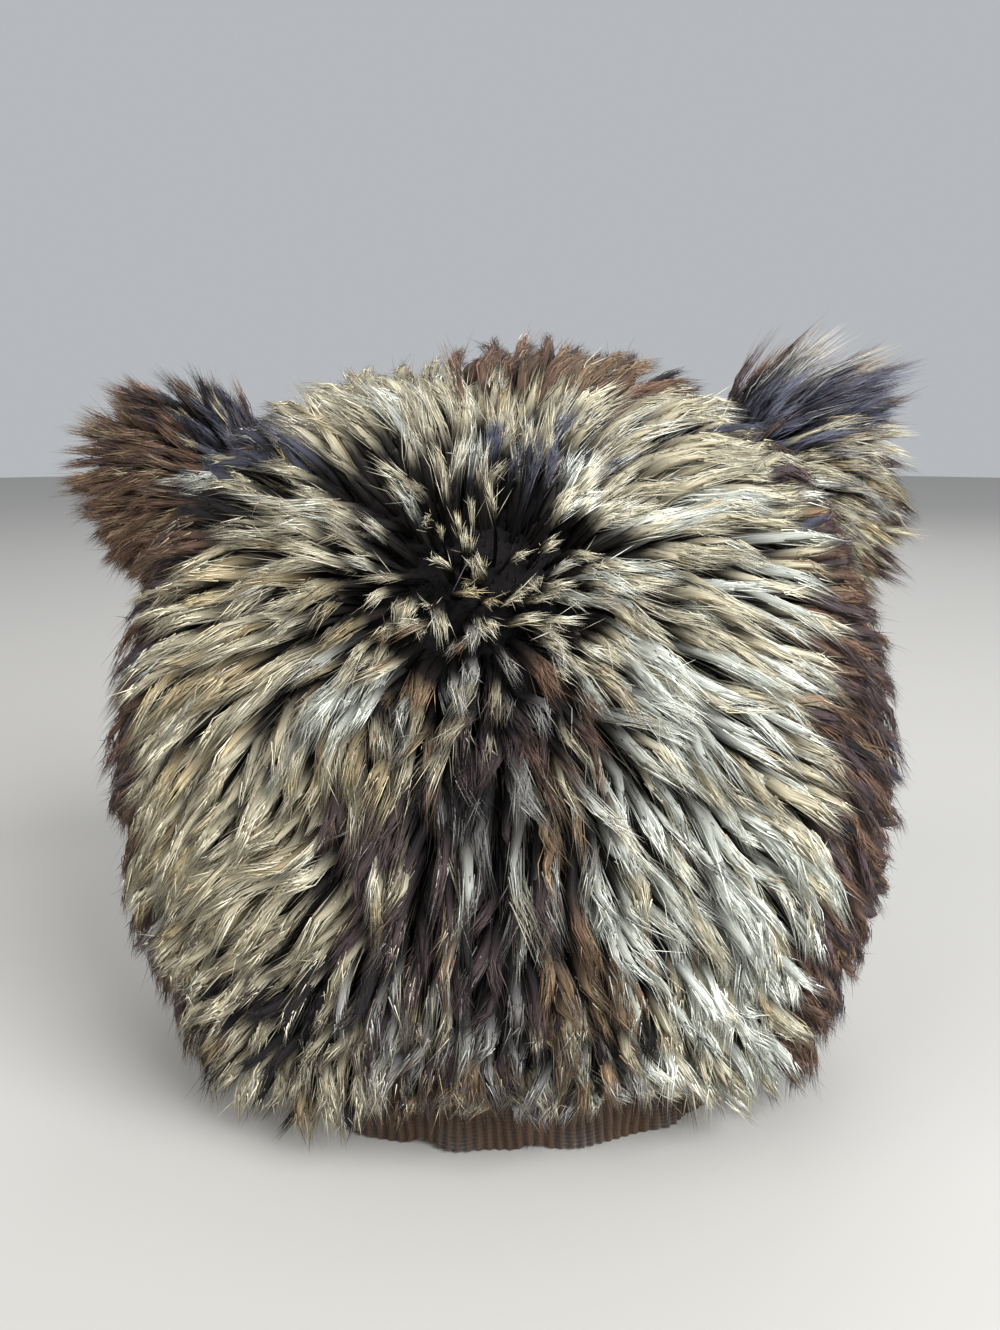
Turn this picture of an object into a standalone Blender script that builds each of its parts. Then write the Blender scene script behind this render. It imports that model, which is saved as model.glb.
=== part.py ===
"""A bear ear hat: a soft dome of long-pile fur cloth with two ears, standing on its rib-knit band.

Metres, +Z up. The origin is on the floor under the middle of the hat and the wearer's face is towards -Y,
so the wearer's left ear is on the +X side. A direction on the hat is given by its azimuth, 0 at the face
and growing towards +X, and its elevation above the waist, where the dome is widest.
"""

import math
import random

import bmesh
import bpy
from mathutils import Matrix, Vector

MM = 0.001
CLEAR = 0.3 * MM  # gap between pieces that touch

# The cloth of the crown, measured on its outer face
CROWN_HALF_WIDTH = 101.0 * MM
CROWN_HALF_DEPTH = 98.0 * MM
WAIST_HEIGHT = 88.0 * MM
CROWN_TOP = 197.0 * MM
CROWN_RIM = 30.3 * MM
LOWER_REACH = 78.0 * MM  # how far below the waist the tuck under the dome would close
PROFILE_POWER = 2.5  # above 2 gives the square shoulders of a soft hat
PLAN_POWER = 2.2
CLOTH_WALL = 2.0 * MM
CROWN_SIDES = 32
CROWN_RINGS = 7
SLOPE_STEP = 0.01  # turn, in radians, over which the cloth's slope is read
HALVINGS = 30  # of the interval in which the rim is looked for
LOWEST_ELEVATION = -85.0

# Soft hollows and bulges of the standing hat: degrees, millimetres inward, degrees
DENT_COLUMNS = ("azimuth", "elevation", "depth", "spread")
DENTS = (
    (8.0, 60.0, 6.0, 13.0),
    (-44.0, 56.0, -3.0, 15.0),
    (42.0, 54.0, -3.5, 15.0),
    (-62.0, 4.0, -2.5, 22.0),
    (70.0, -2.0, -2.5, 20.0),
    (178.0, 34.0, 5.0, 24.0),
    (128.0, 12.0, 3.0, 16.0),
    (-140.0, 4.0, 2.5, 18.0),
)

# The pile: a dense coat with locks that lie away from a whorl above the face
PILE_COAT = 11.0 * MM
WHORL_AZIMUTH = -5.0
WHORL_ELEVATION = 42.0
WHORL_SPREAD = 42.0 * MM  # inside this the locks stand up, outside they lie down
WHORL_LOCKS = 5  # standing round the middle of the whorl
WHORL_RING = 6.0  # their distance from it in degrees
WHORL_LOCK_GIRTH = 0.6  # against the locks that lie down
GRAVITY_SHARE = 0.35  # how much the lie of the pile bends straight down
LOCK_PITCH = 32.0 * MM  # between the locks of a row
LOCK_ROW_PITCH = 27.0 * MM
LOCK_LENGTH = 43.0 * MM
LOCK_HALF_WIDTH = 12.5 * MM
LOCK_RIDGE = 6.0 * MM
LOCK_KEEL = 4.0 * MM
LOCK_SEED = 12
LOCK_PLACE_JITTER = 0.15  # of a pitch, along a row
LOCK_ROW_JITTER = 2.0  # degrees, across a row
LOCK_SIZE_JITTER = 0.15
LOCK_SHORTENING = 0.93  # for each try at clearing the floor
LOWEST_ROW = 2.0  # degrees above the rim
HIGHEST_ROW = 86.0
ROW_STEP = 1.0  # degrees
FLOOR_CLEARANCE = 7.0 * MM
FACE_OPENING_AZIMUTH = 4.0  # the band shows below the pile over this stretch of the face
FACE_OPENING_SPREAD = 26.0
FACE_OPENING_BLEND = 16.0
FACE_OPENING_HEIGHT = 22.0 * MM
SKIRT_TOP = 44.0 * MM  # below this the locks hang free of the cloth, outside the band
SKIRT_TUCK = 0.22  # how far they draw in towards the band for each unit of drop
STANDING_SHARE = 0.3  # how much of a lock's length adds to its height at the whorl
LOCK_COLUMNS = ("along", "lift", "girth")
LOCK_STATIONS = (
    (0.00, 8.0, 0.75),
    (0.36, 14.5, 1.00),
    (0.72, 18.0, 0.72),
    (1.00, 21.0, 0.00),
)

# The ears: cupped flaps on the shoulders of the dome, one row for each
EAR_COLUMNS = ("side", "azimuth", "elevation", "tilt", "roll")
EARS = (
    (-1.0, -92.0, 43.0, 23.0, 4.0),
    (1.0, 92.0, 46.0, 34.0, -6.0),
)
EAR_HALF_WIDTH = 28.0 * MM
EAR_HALF_THICKNESS = 9.0 * MM
EAR_HALF_LENGTH = 30.0 * MM
EAR_STAND = 14.0 * MM  # from the crown to the middle of the flap
EAR_CUP = 7.0 * MM  # how far the middle of the flap lies behind its edges
EAR_SEGMENTS = 14
EAR_RINGS = 8
EAR_GAP = 0.6 * MM  # around the root of an ear, in the pile
EAR_LOCKS_PER_ROW = 5
EAR_LOCK_ROWS = (0.15, 0.62)  # height of each row on the flap, as a share of its half length
EAR_LOCK_LENGTH = 24.0 * MM
EAR_LOCK_HALF_WIDTH = 10.0 * MM
EAR_LOCK_GIRTHS = (0.85, 1.0, 0.0)
EAR_LOCK_EDGE = 0.92  # how near the outermost locks of a row come to the flap's edge
EAR_LOCK_SINK = 0.6  # depth of their roots, as a share of the flap's half thickness
EAR_LOCK_SPLAY = 0.35  # how far they turn towards the sides of the flap
EAR_LOCK_RISE = 0.25  # how far their tips stand off it
EAR_LOCK_BEND = 0.45  # where along a lock its bulge lies
EAR_LOCK_BULGE = 1.5 * MM
EAR_FAN_ROOT = -1.6  # where the locks' lines meet, in half lengths of the flap
EAR_PARTING = 42.0 * MM  # no lock of the crown is rooted nearer to the middle of an ear

# The band: a folded rib-knit tube under the rim of the crown
BAND_HEIGHT = 30.0 * MM
BAND_WALL = 4.6 * MM
BAND_EDGE = 1.3 * MM
BAND_RIBS = 56
BAND_STEPS_PER_RIB = 2
RIB_DEPTH = 0.9 * MM
TUCK_COLUMNS = ("azimuth", "depth", "spread")
BAND_TUCKS = (
    (-16.0, 2.2, 4.0),
    (7.0, 1.6, 4.0),
    (58.0, 1.8, 5.0),
    (131.0, 1.6, 5.0),
    (-141.0, 2.0, 5.0),
    (-68.0, 1.6, 5.0),
)

# Name, base colour and roughness of each material
MATERIALS = {
    "crown": ((0.16, 0.12, 0.10), 0.9),
    "crown_fur": ((0.45, 0.38, 0.27), 0.7),
    "ear_right": ((0.14, 0.09, 0.07), 0.7),
    "ear_left": ((0.10, 0.09, 0.10), 0.7),
    "knit_band": ((0.20, 0.14, 0.09), 0.9),
}


CROWN_CENTRE = Vector((0.0, 0.0, WAIST_HEIGHT))


def rows(columns, table):
    """Read a short table as one dictionary for each row."""
    return [dict(zip(columns, row)) for row in table]


def clear_scene():
    """Remove every object that the file opened with."""
    for item in list(bpy.data.objects):
        bpy.data.objects.remove(item)


def make_collection(name):
    """Add a collection to the scene."""
    collection = bpy.data.collections.new(name)
    bpy.context.scene.collection.children.link(collection)
    return collection


def make_object(name, mesh, collection):
    """Put a mesh in the scene as an object, with its own material if it is one of the hat's pieces."""
    item = bpy.data.objects.new(name, mesh)
    collection.objects.link(item)
    if name in MATERIALS:
        colour, roughness = MATERIALS[name]
        material = bpy.data.materials.new(name)
        material.use_nodes = True
        surface = material.node_tree.nodes["Principled BSDF"]
        surface.inputs["Base Color"].default_value = (*colour, 1.0)
        surface.inputs["Roughness"].default_value = roughness
        mesh.materials.append(material)
    else:
        item.hide_render = True
        item.display_type = "WIRE"
    return item


def mesh_from_bmesh(name, shape):
    """Store a bmesh with its faces turned outwards."""
    bmesh.ops.recalc_face_normals(shape, faces=shape.faces)
    mesh = bpy.data.meshes.new(name)
    shape.to_mesh(mesh)
    shape.free()
    return mesh


def direction(azimuth, elevation):
    """Unit vector of an azimuth and an elevation in degrees."""
    turn = math.radians(azimuth)
    rise = math.radians(elevation)
    return Vector((math.sin(turn) * math.cos(rise), -math.cos(turn) * math.cos(rise), math.sin(rise)))


def dent_depth(heading):
    """How far the hollows and bulges move the cloth inward along a direction."""
    depth = 0.0
    for dent in rows(DENT_COLUMNS, DENTS):
        away = math.degrees(heading.angle(direction(dent["azimuth"], dent["elevation"])))
        depth += dent["depth"] * MM * math.exp(-((away / dent["spread"]) ** 2))
    return depth


def cloth_radius(heading):
    """Distance from the crown's centre to the cloth: a superellipsoid less the hollows."""
    plan = abs(heading.x / CROWN_HALF_WIDTH) ** PLAN_POWER + abs(heading.y / CROWN_HALF_DEPTH) ** PLAN_POWER
    reach = CROWN_TOP - WAIST_HEIGHT if heading.z > 0.0 else LOWER_REACH
    total = plan ** (PROFILE_POWER / PLAN_POWER) + abs(heading.z / reach) ** PROFILE_POWER
    return total ** (-1.0 / PROFILE_POWER) - dent_depth(heading)


def cloth_point(heading):
    """Point of the cloth's outer face along a direction from the crown's centre."""
    heading = heading.normalized()
    return CROWN_CENTRE + heading * cloth_radius(heading)


def cloth_normal(heading):
    """Outward normal of the cloth, from its slope along two crossing directions."""
    heading = heading.normalized()
    across = heading.orthogonal().normalized()
    along = heading.cross(across)
    across *= SLOPE_STEP
    along *= SLOPE_STEP
    slope_across = cloth_point(heading + across) - cloth_point(heading - across)
    slope_along = cloth_point(heading + along) - cloth_point(heading - along)
    normal = slope_across.cross(slope_along).normalized()
    return normal if normal.dot(heading) > 0.0 else -normal


def rim_elevation(azimuth, height):
    """Elevation at which the cloth passes a height below the waist, found by halving the interval."""
    low = LOWEST_ELEVATION
    high = 0.0
    for _ in range(HALVINGS):
        middle = 0.5 * (low + high)
        if cloth_point(direction(azimuth, middle)).z < height:
            low = middle
        else:
            high = middle
    return high


def open_dome(name, lift, rim_height):
    """Dome of the cloth's outer face moved out by lift, open along its rim."""
    shape = bmesh.new()
    rings = []
    for ring in range(CROWN_RINGS):
        share = ring / CROWN_RINGS
        points = []
        for side in range(CROWN_SIDES):
            azimuth = 360.0 * side / CROWN_SIDES
            lowest = rim_elevation(azimuth, rim_height)
            heading = direction(azimuth, lowest + (90.0 - lowest) * share)
            points.append(shape.verts.new(cloth_point(heading) + cloth_normal(heading) * lift))
        rings.append(points)
    peak = Vector((0.0, 0.0, 1.0))
    top = shape.verts.new(cloth_point(peak) + cloth_normal(peak) * lift)
    for lower, upper in zip(rings, rings[1:]):
        for side in range(CROWN_SIDES):
            after = (side + 1) % CROWN_SIDES
            shape.faces.new((lower[side], lower[after], upper[after], upper[side]))
    for side in range(CROWN_SIDES):
        shape.faces.new((rings[-1][side], rings[-1][(side + 1) % CROWN_SIDES], top))
    return mesh_from_bmesh(name, shape)


def add_solidify(item, thickness, outward):
    """Give an open surface a wall on one side."""
    wall = item.modifiers.new("wall", "SOLIDIFY")
    wall.thickness = thickness
    wall.offset = 1.0 if outward else -1.0
    wall.use_even_offset = True


def add_boolean(item, operation, other, fuse_itself=False):
    """Join or cut an object with a hidden one."""
    change = item.modifiers.new(other.name, "BOOLEAN")
    change.operation = operation
    change.solver = "EXACT"
    change.object = other
    change.use_self = fuse_itself


def keep_outer_skin(item):
    """Apply an object's modifiers and drop the small voids that its crossing locks close off."""
    graph = bpy.context.evaluated_depsgraph_get()
    mesh = bpy.data.meshes.new_from_object(item.evaluated_get(graph))
    item.modifiers.clear()
    shape = bmesh.new()
    shape.from_mesh(mesh)
    unseen = set(shape.verts)
    skins = []
    while unseen:
        skin = {unseen.pop()}
        edge_of_skin = list(skin)
        while edge_of_skin:
            corner = edge_of_skin.pop()
            found = {edge.other_vert(corner) for edge in corner.link_edges} & unseen
            unseen -= found
            skin |= found
            edge_of_skin.extend(found)
        skins.append(skin)
    outer = max(skins, key=len)
    inner = [corner for corner in shape.verts if corner not in outer]
    bmesh.ops.delete(shape, geom=inner, context="VERTS")
    shape.to_mesh(mesh)
    shape.free()
    item.data = mesh


def add_lock(shape, path, half_width, ridge_height, keel_depth):
    """Add one closed lock of pile: a three-sided blade along a path, ending in a point.

    Each station has a ridge on the outside and two edges below it, so that the lock sheds to both sides.
    """
    stations = []
    for point, across, outward, girth in path[:-1]:
        top = shape.verts.new(point + outward * ridge_height * girth)
        left = shape.verts.new(point - across * half_width * girth - outward * keel_depth * girth)
        right = shape.verts.new(point + across * half_width * girth - outward * keel_depth * girth)
        stations.append((top, left, right))
    tip = shape.verts.new(path[-1][0])
    shape.faces.new(stations[0])
    for lower, upper in zip(stations, stations[1:]):
        for corner in range(3):
            after = (corner + 1) % 3
            shape.faces.new((lower[corner], lower[after], upper[after], upper[corner]))
    for corner in range(3):
        shape.faces.new((stations[-1][corner], stations[-1][(corner + 1) % 3], tip))


def pile_lie(point, normal):
    """Direction in which the pile lies: away from the whorl along the cloth, bent downwards."""
    whorl = cloth_point(direction(WHORL_AZIMUTH, WHORL_ELEVATION))
    away = point - whorl
    spread = (away - normal * away.dot(normal)).normalized()
    down = Vector((0.0, 0.0, -1.0))
    down -= normal * down.dot(normal)
    return (spread + down * GRAVITY_SHARE * (1.0 if point.z < whorl.z else 0.0)).normalized()


def pile_base(point):
    """Drop a point on to the cloth, or below the skirt line hold it where the pile hangs free of the band."""
    if point.z > SKIRT_TOP:
        return cloth_point(point - CROWN_CENTRE)
    edge = cloth_point(Vector((point.x, point.y, SKIRT_TOP - WAIST_HEIGHT)))
    radius = math.hypot(edge.x, edge.y) - SKIRT_TUCK * (SKIRT_TOP - point.z)
    plan = Vector((point.x, point.y, 0.0)).normalized() * radius
    return Vector((plan.x, plan.y, point.z))


def pile_normal(base):
    """Outward direction of the pile: the cloth's normal, turned level where the pile hangs."""
    normal = cloth_normal(base - CROWN_CENTRE)
    level = Vector((base.x, base.y, 0.0)).normalized()
    hanging = min(1.0, max(0.0, (WAIST_HEIGHT - base.z) / (WAIST_HEIGHT - SKIRT_TOP)))
    return normal.lerp(level, hanging).normalized()


def lock_path(heading, length):
    """Follow the lie of the pile from a root.

    Gives a point, crossing direction, normal and girth for each station.
    """
    whorl = cloth_point(direction(WHORL_AZIMUTH, WHORL_ELEVATION))
    base = cloth_point(heading)
    laid = min(1.0, (base - whorl).length / WHORL_SPREAD)
    path = []
    travelled = 0.0
    for station in rows(LOCK_COLUMNS, LOCK_STATIONS):
        step = (station["along"] - travelled) * length * laid
        travelled = station["along"]
        base = pile_base(base + pile_lie(base, pile_normal(base)) * step)
        normal = pile_normal(base)
        lift = station["lift"] * MM + (1.0 - laid) * station["along"] * STANDING_SHARE * length
        across = normal.cross(pile_lie(base, normal)).normalized()
        path.append((base + normal * lift, across, normal, station["girth"]))
    return path


def skirt_height(azimuth):
    """Lowest height of a lock's tip: just off the floor, but higher over the face, where the band shows."""
    away = abs((azimuth - FACE_OPENING_AZIMUTH + 180.0) % 360.0 - 180.0)
    share = min(1.0, max(0.0, (away - FACE_OPENING_SPREAD) / FACE_OPENING_BLEND))
    return FACE_OPENING_HEIGHT + (FLOOR_CLEARANCE - FACE_OPENING_HEIGHT) * share


def crown_lock(shape, azimuth, elevation, length, half_width):
    """Add one lock to the crown, shortened until it clears the floor."""
    heading = direction(azimuth, elevation)
    path = lock_path(heading, length)
    while min(point.z for point, _, _, _ in path) < skirt_height(azimuth):
        length *= LOCK_SHORTENING
        path = lock_path(heading, length)
    add_lock(shape, path, half_width, LOCK_RIDGE, LOCK_KEEL)


def near_ear(point):
    """Whether a point of the cloth lies under an ear."""
    return any((point - ear_root(ear)).length < EAR_PARTING for ear in rows(EAR_COLUMNS, EARS))


def lock_rows():
    """Elevations of the rows of locks, a row apart along the side of the cloth from its rim to the top."""
    elevation = rim_elevation(0.0, CROWN_RIM) + LOWEST_ROW
    elevations = [elevation]
    previous = cloth_point(direction(90.0, elevation))
    while elevation < HIGHEST_ROW:
        elevation += ROW_STEP
        point = cloth_point(direction(90.0, elevation))
        if (point - previous).length >= LOCK_ROW_PITCH:
            elevations.append(elevation)
            previous = point
    return elevations


def crown_locks():
    """All the locks of the crown, in staggered rows that reach from its rim to its top."""
    chance = random.Random(LOCK_SEED)
    shape = bmesh.new()
    for row, elevation in enumerate(lock_rows()):
        girth = 2.0 * math.pi * cloth_point(direction(90.0, elevation)).x
        count = max(3, round(girth / LOCK_PITCH))
        for number in range(count):
            place = number + 0.5 * (row % 2) + chance.uniform(-LOCK_PLACE_JITTER, LOCK_PLACE_JITTER)
            azimuth = 360.0 * place / count
            height = elevation + chance.uniform(-LOCK_ROW_JITTER, LOCK_ROW_JITTER)
            length = LOCK_LENGTH * chance.uniform(1.0 - LOCK_SIZE_JITTER, 1.0 + LOCK_SIZE_JITTER)
            half_width = LOCK_HALF_WIDTH * chance.uniform(1.0 - LOCK_SIZE_JITTER, 1.0 + LOCK_SIZE_JITTER)
            if not near_ear(cloth_point(direction(azimuth, height))):
                crown_lock(shape, azimuth, height, length, half_width)
    for number in range(WHORL_LOCKS):
        turn = math.radians(360.0 * number / WHORL_LOCKS)
        azimuth = WHORL_AZIMUTH + WHORL_RING * math.sin(turn)
        height = WHORL_ELEVATION + WHORL_RING * math.cos(turn)
        crown_lock(shape, azimuth, height, LOCK_LENGTH, WHORL_LOCK_GIRTH * LOCK_HALF_WIDTH)
    return mesh_from_bmesh("crown_locks", shape)


def ear_root(ear):
    """Point of the cloth at the middle of an ear."""
    return cloth_point(direction(ear["azimuth"], ear["elevation"]))


def ear_frame(ear):
    """Place of an ear's flap: +Z of the frame along the ear, +X across it and -Y out of its front."""
    tilt = math.radians(ear["tilt"])
    up = Vector((ear["side"] * math.cos(tilt), 0.0, math.sin(tilt)))
    front = Vector((0.0, -1.0, 0.0))
    across = front.cross(up)
    turn = Matrix((across, -front, up)).transposed().to_4x4()
    roll = Matrix.Rotation(math.radians(ear["roll"]), 4, "Z")
    return Matrix.Translation(ear_root(ear)) @ turn @ roll


def flap_mesh(name, grow):
    """The cupped flap of an ear about its own frame, with every half size grown by the same amount."""
    shape = bmesh.new()
    bmesh.ops.create_uvsphere(shape, u_segments=EAR_SEGMENTS, v_segments=EAR_RINGS, radius=1.0)
    for corner in shape.verts:
        across, through, along = corner.co
        corner.co.x = across * (EAR_HALF_WIDTH + grow)
        corner.co.y = through * (EAR_HALF_THICKNESS + grow) + EAR_CUP * (1.0 - across * across)
        corner.co.z = along * (EAR_HALF_LENGTH + grow) + EAR_STAND
    return mesh_from_bmesh(name, shape)


def ear_locks(name):
    """The locks of an ear about its own frame, fanned out from its root on both faces."""
    shape = bmesh.new()
    fan_root = Vector((0.0, EAR_CUP, EAR_FAN_ROOT * EAR_HALF_LENGTH))
    for row in EAR_LOCK_ROWS:
        reach = math.sqrt(1.0 - row * row)
        for face in (-1.0, 1.0):
            for number in range(EAR_LOCKS_PER_ROW):
                share = (2.0 * number / (EAR_LOCKS_PER_ROW - 1) - 1.0) * EAR_LOCK_EDGE
                across = share * reach
                through = face * reach * math.sqrt(1.0 - share * share)
                start = Vector((across * EAR_HALF_WIDTH, 0.0, row * EAR_HALF_LENGTH + EAR_STAND))
                start.y = EAR_LOCK_SINK * through * EAR_HALF_THICKNESS + EAR_CUP * (1.0 - across * across)
                lie = (start - fan_root).normalized()
                out = Vector((EAR_LOCK_SPLAY * across, through, 0.0)).normalized()
                tip = start + (lie + out * EAR_LOCK_RISE).normalized() * EAR_LOCK_LENGTH
                middle = start.lerp(tip, EAR_LOCK_BEND) + out * EAR_LOCK_BULGE
                beside = lie.cross(out).normalized()
                path = [(point, beside, out, girth) for point, girth in zip((start, middle, tip), EAR_LOCK_GIRTHS)]
                add_lock(shape, path, EAR_LOCK_HALF_WIDTH, LOCK_RIDGE, LOCK_KEEL)
    return mesh_from_bmesh(name, shape)


def filled_dome(cutters):
    """The space under the crown and the gap around it, which the ears keep out of."""
    shape = bmesh.new()
    shape.from_mesh(open_dome("ear_seat", CLEAR, CROWN_RIM))
    edges = [edge for edge in shape.edges if edge.is_boundary]
    bmesh.ops.contextual_create(shape, geom=edges)
    return make_object("ear_seat", mesh_from_bmesh("ear_seat", shape), cutters)


def build_ears(pieces, cutters):
    """Both ears, each a flap with its locks fused on, and the hollows that their roots need in the pile."""
    seat = filled_dome(cutters)
    hollows = []
    for ear in rows(EAR_COLUMNS, EARS):
        name = "ear_left" if ear["side"] > 0.0 else "ear_right"
        place = ear_frame(ear)
        flap = make_object(name, flap_mesh(name, 0.0), pieces)
        locks = make_object(name + "_locks", ear_locks(name + "_locks"), cutters)
        hollow = make_object(name + "_hollow", flap_mesh(name + "_hollow", EAR_GAP), cutters)
        for item in (flap, locks, hollow):
            item.matrix_world = place
        add_boolean(flap, "UNION", locks, fuse_itself=True)
        add_boolean(flap, "DIFFERENCE", seat)
        keep_outer_skin(flap)
        hollows.append(hollow)
    return hollows


def build_crown(pieces):
    """The cloth dome, open below."""
    crown = make_object("crown", open_dome("crown", 0.0, CROWN_RIM), pieces)
    add_solidify(crown, CLOTH_WALL, outward=False)


def build_pile(pieces, cutters, hollows):
    """The coat of pile over the crown, with its locks fused on and hollows for the ears."""
    pile = make_object("crown_fur", open_dome("crown_fur", CLEAR, CROWN_RIM + CLEAR), pieces)
    locks = make_object("crown_locks", crown_locks(), cutters)
    add_solidify(pile, PILE_COAT - CLEAR, outward=True)
    add_boolean(pile, "UNION", locks, fuse_itself=True)
    for hollow in hollows:
        add_boolean(pile, "DIFFERENCE", hollow)
    keep_outer_skin(pile)


def tuck_lift(azimuth):
    """How far the folded edge of the band is drawn up at an azimuth."""
    lift = 0.0
    for tuck in rows(TUCK_COLUMNS, BAND_TUCKS):
        away = (azimuth - tuck["azimuth"] + 180.0) % 360.0 - 180.0
        lift += tuck["depth"] * MM * max(0.0, 1.0 - abs(away) / tuck["spread"])
    return lift


def band_line(azimuth):
    """Point on the middle line of the band, which follows the rim of the crown."""
    rim = cloth_point(direction(azimuth, rim_elevation(azimuth, CROWN_RIM)))
    inward = Vector((rim.x, rim.y, 0.0)).normalized() * (0.5 * CLOTH_WALL)
    return Vector((rim.x, rim.y, 0.0)) - inward


def build_band(pieces):
    """The rib-knit band: a flat-footed ring with ribs on both faces and a drawn-up fold here and there."""
    shape = bmesh.new()
    half = 0.5 * BAND_WALL
    # Each corner of the wall: offset outwards, height, share of the rib and share of the tucks
    corners = (
        (half - BAND_EDGE, 0.0, 0.0, 1.0),
        (half, BAND_EDGE, 1.0, 1.0),
        (half, BAND_HEIGHT - BAND_EDGE, 1.0, 0.0),
        (half - BAND_EDGE, BAND_HEIGHT, 0.0, 0.0),
        (BAND_EDGE - half, BAND_HEIGHT, 0.0, 0.0),
        (-half, BAND_HEIGHT - BAND_EDGE, -1.0, 0.0),
        (-half, BAND_EDGE, -1.0, 1.0),
        (BAND_EDGE - half, 0.0, 0.0, 1.0),
    )
    loops = []
    steps = BAND_RIBS * BAND_STEPS_PER_RIB
    for step in range(steps):
        azimuth = 360.0 * step / steps
        middle = band_line(azimuth)
        outward = middle.normalized()
        rib = 0.5 * RIB_DEPTH * math.cos(2.0 * math.pi * step / BAND_STEPS_PER_RIB)
        lift = tuck_lift(azimuth)
        loop = []
        for offset, height, rib_share, tucked in corners:
            rise = Vector((0.0, 0.0, height + lift * tucked))
            loop.append(shape.verts.new(middle + outward * (offset + rib * rib_share) + rise))
        loops.append(loop)
    for step in range(steps):
        here = loops[step]
        following = loops[(step + 1) % steps]
        for corner in range(len(corners)):
            after = (corner + 1) % len(corners)
            shape.faces.new((here[corner], here[after], following[after], following[corner]))
    make_object("knit_band", mesh_from_bmesh("knit_band", shape), pieces)


def main():
    """Build the hat."""
    clear_scene()
    pieces = make_collection("bear_ear_hat")
    cutters = make_collection("cutters")
    build_crown(pieces)
    hollows = build_ears(pieces, cutters)
    build_pile(pieces, cutters, hollows)
    build_band(pieces)


main()
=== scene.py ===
"""Looks of the bear ear hat: long pile in fine strands, two furry ears and a rib-knit band.

Metres, +Z up, the wearer's face towards -Y. The cloth under the pile is a superellipsoid with soft hollows.
Locks of fibres are rooted on it in rings round a whorl above the face. Each follows the lie of the pile,
which runs away from the whorl and hangs down towards the band.
"""
import logging
import math
from dataclasses import dataclass, fields
from enum import Enum, IntEnum

import bpy
import numpy as np
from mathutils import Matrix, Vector


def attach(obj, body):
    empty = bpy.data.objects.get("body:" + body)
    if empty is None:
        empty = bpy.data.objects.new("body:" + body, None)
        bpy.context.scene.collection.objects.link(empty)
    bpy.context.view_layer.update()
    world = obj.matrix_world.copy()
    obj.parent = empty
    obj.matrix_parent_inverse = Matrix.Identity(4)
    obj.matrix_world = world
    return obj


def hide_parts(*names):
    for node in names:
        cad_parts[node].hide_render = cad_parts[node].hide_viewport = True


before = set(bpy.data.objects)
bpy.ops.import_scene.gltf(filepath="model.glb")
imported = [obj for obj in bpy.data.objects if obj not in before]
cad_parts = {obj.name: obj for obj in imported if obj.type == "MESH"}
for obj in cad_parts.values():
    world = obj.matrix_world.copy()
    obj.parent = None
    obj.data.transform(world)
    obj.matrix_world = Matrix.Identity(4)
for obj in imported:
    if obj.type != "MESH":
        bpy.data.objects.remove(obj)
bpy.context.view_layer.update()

MM = 0.001
TURN = 2.0 * math.pi
NOISE_WAVES = 12
UP = np.array((0.0, 0.0, 1.0))
LEVEL = np.array((1.0, 1.0, 0.0))
FLOOR_GAP = 0.3 * MM
LOG = logging.getLogger("bear_ear_hat")
Array = np.ndarray
Chance = np.random.Generator
Socket = bpy.types.NodeSocket
Material = bpy.types.Material


# Vectors and noise


class Noise(IntEnum):
    """Which soft noise is read, by its seed."""

    SWIRLS = 5
    LENGTHS = 8
    SHADES = 9
    PITS = 12
    WAVES = 14
    HEM = 16
    RIB_LEAN = 21
    PUCKERS = 23
    EAR_SWIRLS = 33
    EAR_WAVES = 34
    SEAM = 71
    STREAKS = 200


def unit(vectors: Array) -> Array:
    """Scale vectors along the last axis to length one."""
    return vectors / np.maximum(np.linalg.norm(vectors, axis=-1, keepdims=True), 1e-12)


def dot(first: Array, second: Array) -> Array:
    """Scalar product along the last axis, kept as an axis of one."""
    return np.sum(first * second, axis=-1, keepdims=True)


def along_surface(vectors: Array, normals: Array) -> Array:
    """Part of each vector that lies in the surface: the vector less its share along the normal."""
    return vectors - normals * dot(vectors, normals)


def heading(azimuth: Array, elevation: Array) -> Array:
    """Unit vector of an azimuth, 0 at the face and growing towards +X, and an elevation.

    Args:
        azimuth: degrees.
        elevation: degrees, of a shape that broadcasts with azimuth.

    Returns:
        (sin a cos e, -cos a cos e, sin e) along a new last axis.
    """
    turn, rise = np.broadcast_arrays(np.radians(azimuth), np.radians(elevation))
    return np.stack((np.sin(turn) * np.cos(rise), -np.cos(turn) * np.cos(rise), np.sin(rise)), axis=-1)


def smooth_noise(points: Array, scale: float, seed: int) -> Array:
    """Soft noise over space, a sum of sine waves with random directions and phases.

    Args:
        points: positions in metres, (..., 3).
        scale: length of the waves in metres.
        seed: which noise it is.

    Returns:
        0.9 times the sum over the root of the number of waves, roughly -1 to 1, for each point.
    """
    chance = np.random.default_rng(int(seed))
    directions = unit(chance.normal(size=(NOISE_WAVES, 3)))
    waves = directions * chance.uniform(0.7, 1.5, (NOISE_WAVES, 1)) * TURN / scale
    phases = chance.uniform(0.0, TURN, NOISE_WAVES)
    return 0.9 * np.sin(points @ waves.T + phases).sum(axis=-1) / math.sqrt(NOISE_WAVES)


def bell(values: Array) -> Array:
    """One in the middle, falling away as e to the minus square."""
    return np.exp(-values**2)


def turned(vectors: Array, normals: Array, angle: Array) -> Array:
    """Vectors in the surface turned about its normals by an angle in radians, kept as an axis of one."""
    return vectors * np.cos(angle) + np.cross(normals, vectors) * np.sin(angle)


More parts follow.
